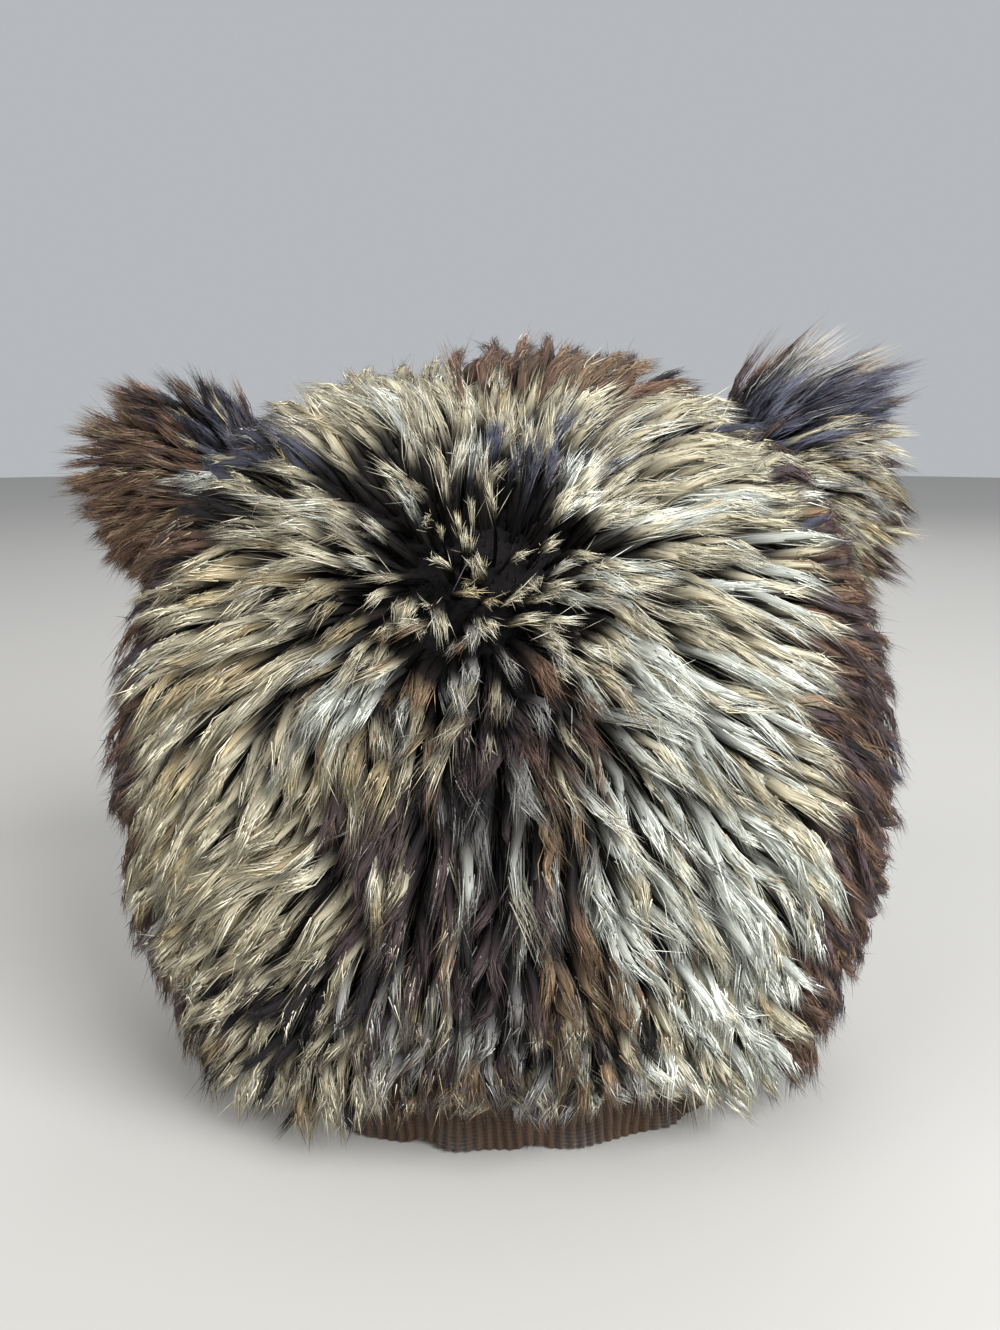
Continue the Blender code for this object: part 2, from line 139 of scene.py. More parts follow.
def linear(colour: tuple[int, int, int]) -> tuple[float, float, float, float]:
    """Linear colour of a display colour: below 0.04045 a straight line, above it a power of 2.4.

    Args:
        colour: red, green and blue, 0 to 255.

    Returns:
        Red, green, blue and an alpha of one.
    """
    shares = np.array(colour) / 255.0
    values = np.where(shares <= 0.04045, shares / 12.92, ((shares + 0.055) / 1.055) ** 2.4)
    return (*map(float, values), 1.0)


# Meshes from arrays


@dataclass
class SurfaceMesh:
    """A mesh gathered from arrays: corners, faces of three or four, and one map position a corner."""

    name: str
    points: Array
    quads: Array
    triangles: Array
    uv: Array | None = None

    def build(self, uv_name: str = "UVMap") -> bpy.types.Object:
        """Put the arrays into a smooth-shaded object, turned outwards if its volume is negative.

        Args:
            uv_name: name of the map that takes uv.

        Returns:
            The new object, linked to the scene.
        """
        if self.signed_volume() < 0.0:
            self.quads = self.quads[:, ::-1]
            self.triangles = self.triangles[:, ::-1]
        loops = np.concatenate((self.quads.ravel(), self.triangles.ravel())).astype(np.int32)
        sizes = np.concatenate((np.full(len(self.quads), 4), np.full(len(self.triangles), 3)))
        mesh = bpy.data.meshes.new(self.name)
        mesh.vertices.add(len(self.points))
        mesh.vertices.foreach_set("co", self.points.astype(np.float32).ravel())
        mesh.loops.add(len(loops))
        mesh.loops.foreach_set("vertex_index", loops)
        mesh.polygons.add(len(sizes))
        mesh.polygons.foreach_set("loop_start", np.concatenate(([0], np.cumsum(sizes)[:-1])).astype(np.int32))
        mesh.polygons.foreach_set("use_smooth", np.ones(len(sizes), bool))
        mesh.update(calc_edges=True)
        if self.uv is not None:
            layer = mesh.uv_layers.new(name=uv_name)
            layer.data.foreach_set("uv", self.uv[loops].astype(np.float32).ravel())
        mesh.validate()
        item = bpy.data.objects.new(self.name, mesh)
        bpy.context.scene.collection.objects.link(item)
        return item

    def signed_volume(self) -> float:
        """Sum over all triangles of a sixth of their corners' triple product.

        Returns:
            Cubic metres, negative where the faces point inwards.
        """
        parts = [self.triangles, self.quads[:, [0, 1, 2]], self.quads[:, [0, 2, 3]]]
        corners = np.concatenate([part.reshape(-1, 3) for part in parts])
        first, second, third = (self.points[corners[:, side]] for side in range(3))
        return float(np.einsum("ij,ij->i", first, np.cross(second, third)).sum() / 6.0)


def grid_quads(rows: int, columns: int, wrap_rows: bool, wrap_columns: bool) -> Array:
    """Quads between neighbouring rows and columns of a grid of points, numbered row by row.

    Args:
        rows: points along the first parameter.
        columns: points along the second.
        wrap_rows: whether the last row joins the first.
        wrap_columns: whether the last column joins the first.

    Returns:
        Corner numbers, (quads, 4).
    """
    row = np.arange(rows if wrap_rows else rows - 1)[:, None]
    column = np.arange(columns if wrap_columns else columns - 1)[None, :]
    next_row = (row + 1) % rows
    next_column = (column + 1) % columns
    corners = (row * columns + column, row * columns + next_column,
               next_row * columns + next_column, next_row * columns + column)
    return np.stack(np.broadcast_arrays(*corners), axis=-1).reshape(-1, 4)


def fan(centre: int, first: int, count: int) -> Array:
    """Triangles from one point to a closed ring of neighbouring points.

    Args:
        centre: number of the point.
        first: number of the ring's first point.
        count: points in the ring.

    Returns:
        Corner numbers, (count, 3).
    """
    ring = np.arange(count)
    return np.stack((np.full(count, centre), first + ring, first + (ring + 1) % count), axis=-1)


def repeated(faces: Array, count: int, each: int) -> Array:
    """Faces of many like parts, each part's numbers moved past the points of those before it.

    Args:
        faces: corner numbers of one part.
        count: how many parts.
        each: points in a part.

    Returns:
        Corner numbers of all parts.
    """
    return (faces[None] + each * np.arange(count)[:, None, None]).reshape(-1, faces.shape[1])


def joined(name: str, parts: list[SurfaceMesh]) -> SurfaceMesh:
    """One mesh of several, with each part's numbers moved past the points before it.

    Args:
        name: name of the mesh.
        parts: the meshes, all with a map or all without.

    Returns:
        The mesh's arrays.
    """
    shifts = np.cumsum([0] + [len(part.points) for part in parts[:-1]])
    uv = None if parts[0].uv is None else np.concatenate([part.uv for part in parts])
    return SurfaceMesh(name, np.concatenate([part.points for part in parts]),
                       np.concatenate([part.quads + shift for part, shift in zip(parts, shifts)]),
                       np.concatenate([part.triangles + shift for part, shift in zip(parts, shifts)]), uv)


# The cloth under the pile


@dataclass(frozen=True)
class Hollow:
    """A soft hollow in the cloth, or a bulge where its depth is negative."""

    azimuth: float
    elevation: float
    depth: float
    spread: float


@dataclass(frozen=True)
class ClothDome:
    """The outer face of the crown's cloth, with the sizes of the solid crown."""

    half_width: float = 101.0 * MM
    half_depth: float = 98.0 * MM
    waist: float = 88.0 * MM
    top: float = 197.0 * MM
    rim: float = 30.3 * MM
    lower_reach: float = 78.0 * MM
    profile_power: float = 2.5
    plan_power: float = 2.2
    slope_step: float = 0.01
    hollows: tuple[Hollow, ...] = (
        Hollow(8.0, 60.0, 6.0, 13.0),
        Hollow(-44.0, 56.0, -3.0, 15.0),
        Hollow(42.0, 54.0, -3.5, 15.0),
        Hollow(-62.0, 4.0, -2.5, 22.0),
        Hollow(70.0, -2.0, -2.5, 20.0),
        Hollow(178.0, 34.0, 5.0, 24.0),
        Hollow(128.0, 12.0, 3.0, 16.0),
        Hollow(-140.0, 4.0, 2.5, 18.0),
    )

    @property
    def centre(self) -> Array:
        """Point on the hat's axis at its waist."""
        return np.array((0.0, 0.0, self.waist))

    def radius(self, towards: Array) -> Array:
        """Distance from the centre to the cloth.

        It is the superellipsoid's sum of powers to the power -1/p. Each hollow takes away its depth times a
        bell of the angle between the direction and the hollow's own.

        Args:
            towards: unit directions, (..., 3).

        Returns:
            One distance a direction.
        """
        x, y, z = np.moveaxis(towards, -1, 0)
        plan = np.abs(x / self.half_width) ** self.plan_power + np.abs(y / self.half_depth) ** self.plan_power
        reach = np.where(z > 0.0, self.top - self.waist, self.lower_reach)
        total = plan ** (self.profile_power / self.plan_power) + np.abs(z / reach) ** self.profile_power
        distance = total ** (-1.0 / self.profile_power)
        for hollow in self.hollows:
            cosine = np.clip(towards @ heading(hollow.azimuth, hollow.elevation), -1.0, 1.0)
            distance = distance - hollow.depth * MM * bell(np.degrees(np.arccos(cosine)) / hollow.spread)
        return distance

    def point(self, towards: Array) -> Array:
        """Point of the cloth along a direction from the centre."""
        towards = unit(towards)
        return self.centre + towards * self.radius(towards)[..., None]

    def normal(self, towards: Array) -> Array:
        """Outward normal: the cross product of the cloth's slopes along two crossing directions.

        Args:
            towards: directions from the centre, (..., 3).

        Returns:
            Unit vectors, (..., 3).
        """
        towards = unit(towards)
        helper = np.where(np.abs(towards[..., 2:3]) < 0.9, UP, (1.0, 0.0, 0.0))
        across = unit(np.cross(helper, towards))
        steps = [side * self.slope_step for side in (across, np.cross(towards, across))]
        slopes = [self.point(towards + step) - self.point(towards - step) for step in steps]
        return unit(np.cross(slopes[0], slopes[1]))

    def rim_elevation(self, azimuth: Array, height: float) -> Array:
        """Elevation at which the cloth passes a height below the waist, by halving the interval.

        Args:
            azimuth: degrees.
            height: metres above the floor.

        Returns:
            Degrees for each azimuth.
        """
        low = np.full(np.shape(azimuth), -85.0)
        high = np.zeros(np.shape(azimuth))
        for _ in range(30):
            middle = 0.5 * (low + high)
            below = self.point(heading(azimuth, middle))[..., 2] < height
            low = np.where(below, middle, low)
            high = np.where(below, high, middle)
        return high

    def shell(self, name: str, inner_lift: float, outer_lift: float, rim: float,
              sides: int, rings: int) -> SurfaceMesh:
        """Closed shell between two lifts from the cloth, open below.

        Rows run up the outer face from the rim, over the pole and down the inner face to the rim again, and
        the first and last rows are joined.

        Args:
            name: name of the mesh.
            inner_lift: how far the inner face stands off the cloth, negative inside it.
            outer_lift: the same for the outer face.
            rim: height of the lower edge.
            sides: points round the hat.
            rings: rows on each face.

        Returns:
            The mesh's arrays.
        """
        azimuth = 360.0 * np.arange(sides) / sides
        lowest = self.rim_elevation(azimuth, rim)
        share = (np.arange(rings) / rings)[:, None]
        towards = heading(azimuth, lowest + (90.0 - lowest) * share)
        base, normal = self.point(towards), self.normal(towards)
        lifts = (outer_lift, inner_lift)
        faces = [(base + normal * lift).reshape(-1, 3) for lift in lifts]
        poles = [self.point(UP) + self.normal(UP) * lift for lift in lifts]
        count = rings * sides
        quads = grid_quads(rings, sides, False, True)
        rim_quads = grid_quads(2, sides, False, True)
        rim_quads = np.where(rim_quads >= sides, rim_quads - sides + count, rim_quads)[:, ::-1]
        last = (rings - 1) * sides
        outer_fan = fan(2 * count, last, sides)
        inner_fan = fan(2 * count + 1, count + last, sides)[:, ::-1]
        points = np.concatenate((*faces, poles))
        return SurfaceMesh(name, points, np.concatenate((quads, quads[:, ::-1] + count, rim_quads)),
                           np.concatenate((outer_fan, inner_fan)))


# Where the camera stands


@dataclass(frozen=True)
class PhotoCamera:
    """The photograph's view: a level camera in front of the hat, tipped down a little."""

    place: tuple[float, float, float] = (0.0, -0.380, 0.200)
    tip_degrees: float = 11.6
    focal_pixels: float = 1216.0
    frame_width: float = 1000.0
    frame_height: float = 1330.0
    sensor_mm: float = 36.0

    def pixels(self, points: Array) -> Array:
        """Where points fall in the photograph: their slope from the view's axis times the focal length.

        Args:
            points: positions in metres, (..., 3).

        Returns:
            (x, y) in the photograph's frame, y downwards.
        """
        tip = math.radians(self.tip_degrees)
        ahead = np.array((0.0, math.cos(tip), -math.sin(tip)))
        upward = np.array((0.0, math.sin(tip), math.cos(tip)))
        offset = points - np.array(self.place)
        depth = offset @ ahead
        x = 0.5 * self.frame_width + self.focal_pixels * offset[..., 0] / depth
        y = 0.5 * self.frame_height - self.focal_pixels * (offset @ upward) / depth
        return np.stack((x, y), axis=-1)

    def faced(self, points: Array, normals: Array) -> Array:
        """Cosine between each normal and the line to the camera."""
        return dot(unit(np.array(self.place) - points), normals)[..., 0]

    def add(self) -> None:
        """Add the camera to the scene."""
        lens = bpy.data.cameras.new("photo_camera")
        lens.sensor_width = self.sensor_mm
        lens.lens = self.focal_pixels / self.frame_height * self.sensor_mm
        lens.clip_start = 0.01
        item = bpy.data.objects.new("photo_camera", lens)
        item.location = self.place
        item.rotation_euler = (math.radians(90.0 - self.tip_degrees), 0.0, 0.0)
        bpy.context.scene.collection.objects.link(item)
        bpy.context.scene.camera = item


# Tones of the fur


class Tone(Enum):
    """A kind of fibre, by the colour that it has towards its tip."""

    CREAM = 0
    # Pale fibres: partly the fur's own pale colour and partly painted sheen.
    PALE_AND_SHEEN = 1
    HONEY = 2
    TAN = 3
    BROWN = 4
    PLUM = 5
    SLATE = 6
    SOOT = 7
    ASH = 8


@dataclass(frozen=True)
class ToneColours:
    """Display colours of a kind of fibre, and the share of it that has the root's colour."""

    dark_tip: tuple[int, int, int]
    light_tip: tuple[int, int, int]
    root: tuple[int, int, int]
    root_share: float


TONES: dict[Tone, ToneColours] = {
    Tone.CREAM: ToneColours((134, 125, 101), (236, 229, 204), (26, 22, 19), 0.26),
    # Pale tone: partly the fur's own colour and partly painted sheen where the light falls.
    Tone.PALE_AND_SHEEN: ToneColours((134, 137, 128), (241, 244, 234), (74, 72, 69), 0.18),
    Tone.HONEY: ToneColours((126, 109, 80), (214, 199, 162), (26, 20, 17), 0.26),
    Tone.TAN: ToneColours((110, 90, 70), (160, 136, 109), (24, 19, 17), 0.24),
    Tone.BROWN: ToneColours((78, 60, 50), (130, 103, 85), (22, 17, 16), 0.22),
    Tone.PLUM: ToneColours((56, 45, 47), (98, 83, 83), (20, 16, 17), 0.20),
    Tone.SLATE: ToneColours((46, 46, 57), (98, 100, 114), (18, 17, 21), 0.20),
    Tone.SOOT: ToneColours((18, 17, 18), (48, 43, 45), (10, 9, 10), 0.20),
    Tone.ASH: ToneColours((96, 94, 92), (184, 183, 178), (22, 20, 21), 0.24),
}


@dataclass(frozen=True)
class Patch:
    """A soft oval patch of one tone in the photograph's frame: centre, half sizes and strength."""

    x: float
    y: float
    half_width: float
    half_height: float
    tone: Tone
    strength: float


# Patches of the coat as they lie in the photograph, in its pixels
# The pale patches are partly the fur's own pale fibres and partly painted sheen, strongest on the right of
# the face as seen from the front, where the light falls.
FACE_PATCHES: tuple[Patch, ...] = tuple(Patch(*row) for row in (
    (240, 760, 120, 260, Tone.CREAM, 6.0),
    (240, 800, 110, 200, Tone.HONEY, 2.2),
    (330, 430, 120, 80, Tone.CREAM, 5.0),
    (330, 430, 120, 80, Tone.PALE_AND_SHEEN, 1.5),
    (250, 640, 90, 80, Tone.HONEY, 1.6),
    (320, 710, 50, 60, Tone.PALE_AND_SHEEN, 4.0),
    (500, 400, 120, 45, Tone.CREAM, 3.0),
    (490, 400, 90, 30, Tone.HONEY, 1.5),
    (550, 440, 50, 30, Tone.SLATE, 4.0),
    (680, 480, 130, 90, Tone.CREAM, 4.0),
    (680, 480, 130, 90, Tone.PALE_AND_SHEEN, 1.5),
    (490, 570, 80, 60, Tone.CREAM, 3.0),
    (490, 580, 60, 50, Tone.HONEY, 1.5),
    (700, 620, 110, 80, Tone.CREAM, 4.0),
    (720, 690, 70, 50, Tone.PALE_AND_SHEEN, 8.0),
    (705, 785, 60, 80, Tone.PALE_AND_SHEEN, 8.0),
    (760, 760, 110, 150, Tone.CREAM, 5.0),
    (760, 800, 100, 150, Tone.PALE_AND_SHEEN, 4.0),
    (700, 560, 100, 80, Tone.PALE_AND_SHEEN, 2.0),
    (790, 800, 60, 90, Tone.HONEY, 3.0),
    (740, 980, 120, 80, Tone.PALE_AND_SHEEN, 9.0),
    (740, 960, 110, 100, Tone.CREAM, 5.0),
    (850, 980, 40, 50, Tone.PALE_AND_SHEEN, 6.0),
    (410, 690, 40, 60, Tone.TAN, 2.5),
    (460, 720, 50, 60, Tone.ASH, 3.0),
    (480, 770, 40, 60, Tone.PLUM, 3.5),
    (385, 860, 50, 60, Tone.PLUM, 8.0),
    (520, 780, 36, 60, Tone.PLUM, 4.0),
    (500, 830, 60, 90, Tone.ASH, 2.0),
    (560, 740, 40, 60, Tone.BROWN, 3.0),
    (470, 900, 80, 110, Tone.ASH, 2.6),
    (460, 880, 90, 120, Tone.PLUM, 1.0),
    (480, 900, 70, 100, Tone.PALE_AND_SHEEN, 1.3),
    (440, 930, 70, 100, Tone.CREAM, 1.0),
    (470, 900, 90, 120, Tone.SOOT, 2.2),
    (440, 970, 70, 80, Tone.PLUM, 3.5),
    (560, 860, 40, 50, Tone.TAN, 2.2),
    (545, 950, 50, 36, Tone.BROWN, 1.6),
    (610, 1000, 44, 34, Tone.TAN, 14.0),
    (640, 900, 50, 70, Tone.PALE_AND_SHEEN, 6.0),
    (640, 920, 40, 40, Tone.SOOT, 2.0),
    (480, 1060, 120, 40, Tone.ASH, 2.5),
    (480, 1060, 120, 50, Tone.TAN, 1.6),
    (470, 1060, 110, 50, Tone.PLUM, 1.5),
    (560, 1050, 70, 25, Tone.SOOT, 2.0),
    (525, 348, 62, 20, Tone.BROWN, 26.0),
    (600, 354, 50, 18, Tone.TAN, 16.0),
    (665, 372, 45, 18, Tone.BROWN, 16.0),
    (230, 1040, 100, 60, Tone.SOOT, 2.4),
    (780, 424, 28, 22, Tone.SLATE, 14.0),
    (772, 434, 24, 18, Tone.SOOT, 8.0),
    (700, 452, 46, 26, Tone.CREAM, 8.0),
    (792, 476, 24, 16, Tone.CREAM, 10.0),
    (244, 436, 30, 34, Tone.SLATE, 14.0),
    (200, 462, 26, 20, Tone.SLATE, 14.0),
    (192, 478, 22, 12, Tone.PALE_AND_SHEEN, 12.0),
    (195, 502, 34, 16, Tone.SOOT, 14.0),
    (160, 545, 18, 40, Tone.BROWN, 12.0),
))
EAR_PATCHES: tuple[Patch, ...] = tuple(Patch(*row) for row in (
    (110, 470, 70, 80, Tone.BROWN, 5.0),
    (95, 470, 70, 80, Tone.TAN, 2.4),
    (110, 470, 70, 80, Tone.HONEY, 0.8),
    (70, 410, 50, 30, Tone.TAN, 2.5),
    (120, 460, 40, 50, Tone.PLUM, 1.5),
    (185, 388, 50, 26, Tone.SOOT, 14.0),
    (150, 380, 50, 16, Tone.ASH, 3.0),
    (170, 375, 60, 16, Tone.SLATE, 3.0),
    (180, 415, 32, 14, Tone.HONEY, 5.0),
    (238, 435, 36, 42, Tone.SLATE, 9.0),
    (200, 478, 22, 14, Tone.PALE_AND_SHEEN, 6.0),
    (185, 515, 40, 20, Tone.SOOT, 6.0),
    (165, 527, 14, 9, Tone.PALE_AND_SHEEN, 4.0),
    (130, 540, 50, 35, Tone.BROWN, 4.0),
    (110, 520, 60, 50, Tone.TAN, 2.0),
    (835, 345, 50, 32, Tone.ASH, 4.0),
    (850, 345, 40, 28, Tone.HONEY, 2.0),
    (860, 385, 50, 26, Tone.SLATE, 5.0),
    (790, 415, 75, 28, Tone.SLATE, 8.0),
    (760, 420, 40, 36, Tone.SOOT, 5.0),
    (880, 440, 24, 26, Tone.SLATE, 3.0),
    (850, 500, 70, 55, Tone.CREAM, 5.0),
    (850, 490, 60, 50, Tone.ASH, 2.5),
    (860, 500, 60, 60, Tone.HONEY, 3.0),
    (805, 480, 20, 32, Tone.PALE_AND_SHEEN, 7.0),
    (820, 560, 40, 18, Tone.PLUM, 5.0),
))


@dataclass(frozen=True)
class CoatPattern:
    """Which tone a lock takes, from the shares of its panel and the patches over the face and ears."""

    camera: PhotoCamera
    seam_heights: tuple[float, ...] = (0.0, 0.05, 0.12, 0.15, 0.185, 0.205, 0.23)
    seam_depths: tuple[float, ...] = (-0.062, -0.074, -0.074, -0.058, -0.020, 0.004, 0.012)
    seam_skew: float = 0.06
    seam_wobble: float = 3.0 * MM
    wobble_scale: float = 30.0 * MM
    front_shares: tuple[float, ...] = (0.40, 0.08, 0.12, 0.08, 0.03, 0.02, 0.02, 0.10, 0.10)
    back_shares: tuple[float, ...] = (0.0, 0.0, 0.0, 0.07, 0.33, 0.42, 0.05, 0.13, 0.0)
    streak_scale: float = 22.0 * MM
    streak_strength: float = 0.9
    chance_strength: float = 0.55
    ear_rim: float = -0.45
    ear_back_share: float = 0.3

    def on_front(self, points: Array) -> Array:
        """Whether points lie on the front panel: nearer the face than the seam at their height.

        Args:
            points: positions in metres, (..., 3).

        Returns:
            True or false for each point.
        """
        wobble = self.seam_wobble * smooth_noise(points, self.wobble_scale, Noise.SEAM)
        seam = np.interp(points[..., 2], self.seam_heights, self.seam_depths)
        return points[..., 1] < seam - self.seam_skew * points[..., 0] + wobble

    def shares(self, points: Array, normals: Array, on_ear: bool) -> Array:
        """Weight of each tone at each point.

        The panel's shares, plus for each patch its strength times a bell of the distance from its centre in
        the photograph, on the front panel or where an ear faces the camera.

        Args:
            points: positions in metres, (points, 3).
            normals: outward directions there.
            on_ear: whether the points are on an ear.

        Returns:
            (points, tones).
        """
        front = self.on_front(points)[:, None]
        if on_ear:
            front = self.camera.faced(points, normals)[:, None] > self.ear_rim
            weights = np.tile(self.ear_back_share * np.array(self.back_shares), (len(points), 1))
        else:
            weights = np.where(front, self.front_shares, self.back_shares)
        seen = self.camera.pixels(points)
        for patch in EAR_PATCHES if on_ear else FACE_PATCHES:
            offset = (seen - (patch.x, patch.y)) / (patch.half_width, patch.half_height)
            near = np.exp(-np.sum(offset**2, axis=-1))
            weights[:, patch.tone.value] += np.where(front[:, 0], patch.strength * near, 0.0)
        return weights

    def pick(self, points: Array, normals: Array, chance: Chance, on_ear: bool,
             freedom: float = 1.0) -> Array:
        """Draw a tone for each lock: the largest sum of log weight, soft noise and a random draw.

        Args:
            points: positions in metres, (locks, 3).
            normals: outward directions there.
            chance: source of random numbers.
            on_ear: whether the locks are on an ear.
            freedom: how much the random draw counts.

        Returns:
            The number of a tone for each lock.
        """
        weights = self.shares(points, normals, on_ear)
        scores = np.log(np.maximum(weights, 1e-6))
        for tone in Tone:
            streak = smooth_noise(points, self.streak_scale, Noise.STREAKS + tone.value)
            scores[:, tone.value] += self.streak_strength * streak
        draws = -np.log(-np.log(chance.uniform(1e-9, 1.0, scores.shape)))
        return np.argmax(scores + freedom * self.chance_strength * draws, axis=1)


# Strands of fur


@dataclass(frozen=True)
class LockStyle:
    """How a lock is built along its spine. Each tuple of girths has one value a station, root to tip.

    The body is a flattened closed form whose tip is its last station but one. The strands start inside it,
    lie on its outer face and run on past its tip. The tips are short straight fibres round the lock's end.
    """

    stations: tuple[float, ...] = (0.0, 0.22, 0.42, 0.62, 0.82, 1.0)
    body_girth: tuple[float, ...] = (0.6, 0.9, 0.9, 0.60, 0.0)
    body_sides: int = 5
    body_width: float = 1.05
    body_spread: float = 0.16
    half_width: float = 1.6 * MM
    half_depth: float = 1.15 * MM
    strands: int = 3
    strand_stations: tuple[int, ...] = (1, 3, 5)
    strand_girth: tuple[float, ...] = (1.15, 1.15, 1.05, 0.80, 0.40)
    strand_thickness: tuple[float, ...] = (1.0, 1.0, 1.0, 0.75, 0.0)
    strand_radius: float = 0.13 * MM
    tips: int = 22
    tip_start: tuple[float, float] = (0.34, 0.76)
    tip_end: tuple[float, float] = (0.80, 1.14)
    tip_radius: float = 0.125 * MM
    tip_girth: tuple[tuple[float, ...], ...] = ((0.3, 0.7, 1.0, 1.12), (1.0, 0.95, 0.5, 0.3))
    outer_arc: tuple[float, float] = (-0.25, 1.25)
    length_spread: float = 0.16
    stray: float = 0.8 * MM
    stray_lift: float = 0.6
    fly_away_share: float = 0.09
    fly_away: float = 3.0
    odd_share: float = 0.07
    mixed_share: float = 0.30
    shade_lift: float = 0.12
    shade_spread: float = 0.22
    body_shadow: float = 0.45

    def section_offset(self, reach: tuple[float, float], half_width: Array,
                       chance: Chance) -> tuple[Array, Array]:
        """Random places on the outer half of a lock's section, which is half its width and half its depth.

        Args:
            reach: least and most share of the section's area that lies inside the place.
            half_width: of each place's lock.
            chance: source of random numbers.

        Returns:
            The offset across the lock and the offset outwards, both in metres.
        """
        angle = chance.uniform(*self.outer_arc, len(half_width)) * math.pi
        share = np.sqrt(chance.uniform(*reach, len(half_width)))
        return share * np.cos(angle) * half_width, share * np.sin(angle) * self.half_depth

    def looseness(self, count: int, chance: Chance) -> Array:
        """How far each fibre strays, in shares of the usual stray: a few fly away."""
        return np.where(chance.uniform(size=(count, 1)) < self.fly_away_share, self.fly_away, 1.0)


@dataclass
class Locks:
    """Spines of many locks: points, crossing directions and outward directions, (locks, stations, 3)."""

    spine: Array
    across: Array
    outward: Array
    tone: Array
    second_tone: Array
    shade: Array
    half_width: Array
    fade: Array

    def chosen(self, keep: Array) -> "Locks":
        """The locks that a mask or a list of numbers names."""
        return Locks(**{field.name: getattr(self, field.name)[keep] for field in fields(self)})


def between_stations(values: Array, stations: Array, place: Array) -> Array:
    """Values part of the way along each spine, by a straight line between its stations.

    Args:
        values: one row a spine, (spines, stations, 3).
        stations: where the stations lie, 0 to 1.
        place: one place a spine. Past the last station its last piece is carried on.

    Returns:
        (spines, 3).
    """
    piece = np.clip(np.searchsorted(stations, place, side="right") - 1, 0, len(stations) - 2)
    share = ((place - stations[piece]) / (stations[piece + 1] - stations[piece]))[:, None]
    row = np.arange(len(values))
    return values[row, piece] * (1.0 - share) + values[row, piece + 1] * share


def tone_column(tone: Array, shade: Array) -> Array:
    """Place of a tone and a shade of 0 to 1 across the map, inside the tone's own column."""
    return (tone + 0.12 + 0.76 * np.clip(shade, 0.0, 1.0)) / len(Tone)


def fibre_columns(locks: Locks, which: Array, style: LockStyle, chance: Chance) -> Array:
    """Place across the map for each fibre: its lock's tone, its second tone or soot, and a shade.

    Args:
        locks: the locks.
        which: number of each fibre's lock.
        style: how a lock is built.
        chance: source of random numbers.

    Returns:
        The map's x for each fibre.
    """
    draw = chance.uniform(size=len(which))
    tone = np.where(draw < style.mixed_share, locks.second_tone[which], locks.tone[which])
    tone = np.where(draw > 1.0 - style.odd_share, Tone.SOOT.value, tone)
    shade = locks.shade[which] + chance.normal(style.shade_lift, style.shade_spread, len(which))
    return tone_column(tone, shade)


def map_of(across: Array, along: Array) -> Array:
    """The map: the place across it, and the place from root to tip held between 0 and 1."""
    return np.stack(np.broadcast_arrays(across, np.clip(along, 0.0, 1.0)), axis=-1).reshape(-1, 2)


def body_mesh(name: str, locks: Locks, style: LockStyle) -> SurfaceMesh:
    """Bodies of all the locks, each closed and flattened, from its root to its blunt tip.

    A ring is an ellipse about the spine: the lock's half width across and half depth outwards, times the
    girth at its station. The map's x is the lock's tone and shade plus a small share of the ring's cosine, so
    the fibres of the finish run along the lock, and the map's y is the station.

    Args:
        name: name of the mesh.
        locks: the spines.
        style: how a lock is built.

    Returns:
        The mesh's arrays and its map.
    """
    rings = len(style.body_girth) - 1
    sides = style.body_sides
    count = len(locks.spine)
    turn = TURN * (np.arange(sides) + 0.5) / sides
    girth = np.array(style.body_girth[:rings])[:, None, None]
    half_width = style.body_width * locks.half_width[:, None, None, None]
    wide = locks.across[:, :rings, None] * np.cos(turn)[:, None] * half_width
    deep = locks.outward[:, :rings, None] * np.sin(turn)[:, None] * style.half_depth
    ring_points = locks.spine[:, :rings, None] + (wide + deep) * girth
    points = np.concatenate((ring_points.reshape(count, -1, 3), locks.spine[:, rings:rings + 1]), axis=1)
    each = rings * sides + 1
    corner = np.arange(1, sides - 1)
    root = np.stack((0 * corner, corner + 1, corner), axis=-1)
    caps = np.concatenate((fan(each - 1, each - 1 - sides, sides), root))
    # Bodies sit darker than their lock by the body shadow: painted shade on the fibre mass under the strands
    # and tips.
    shade = np.maximum(locks.shade - style.body_shadow, style.body_spread)[:, None]
    shade = shade + style.body_spread * np.append(np.tile(np.cos(turn), rings), 0.0)
    height = np.append(np.repeat(style.stations[:rings], sides), style.stations[rings])
    uv = map_of(tone_column(locks.tone[:, None], shade), height + locks.fade[:, None])
    walls = repeated(grid_quads(rings, sides, False, True), count, each)
    return SurfaceMesh(name, points.reshape(-1, 3), walls, repeated(caps, count, each), uv)


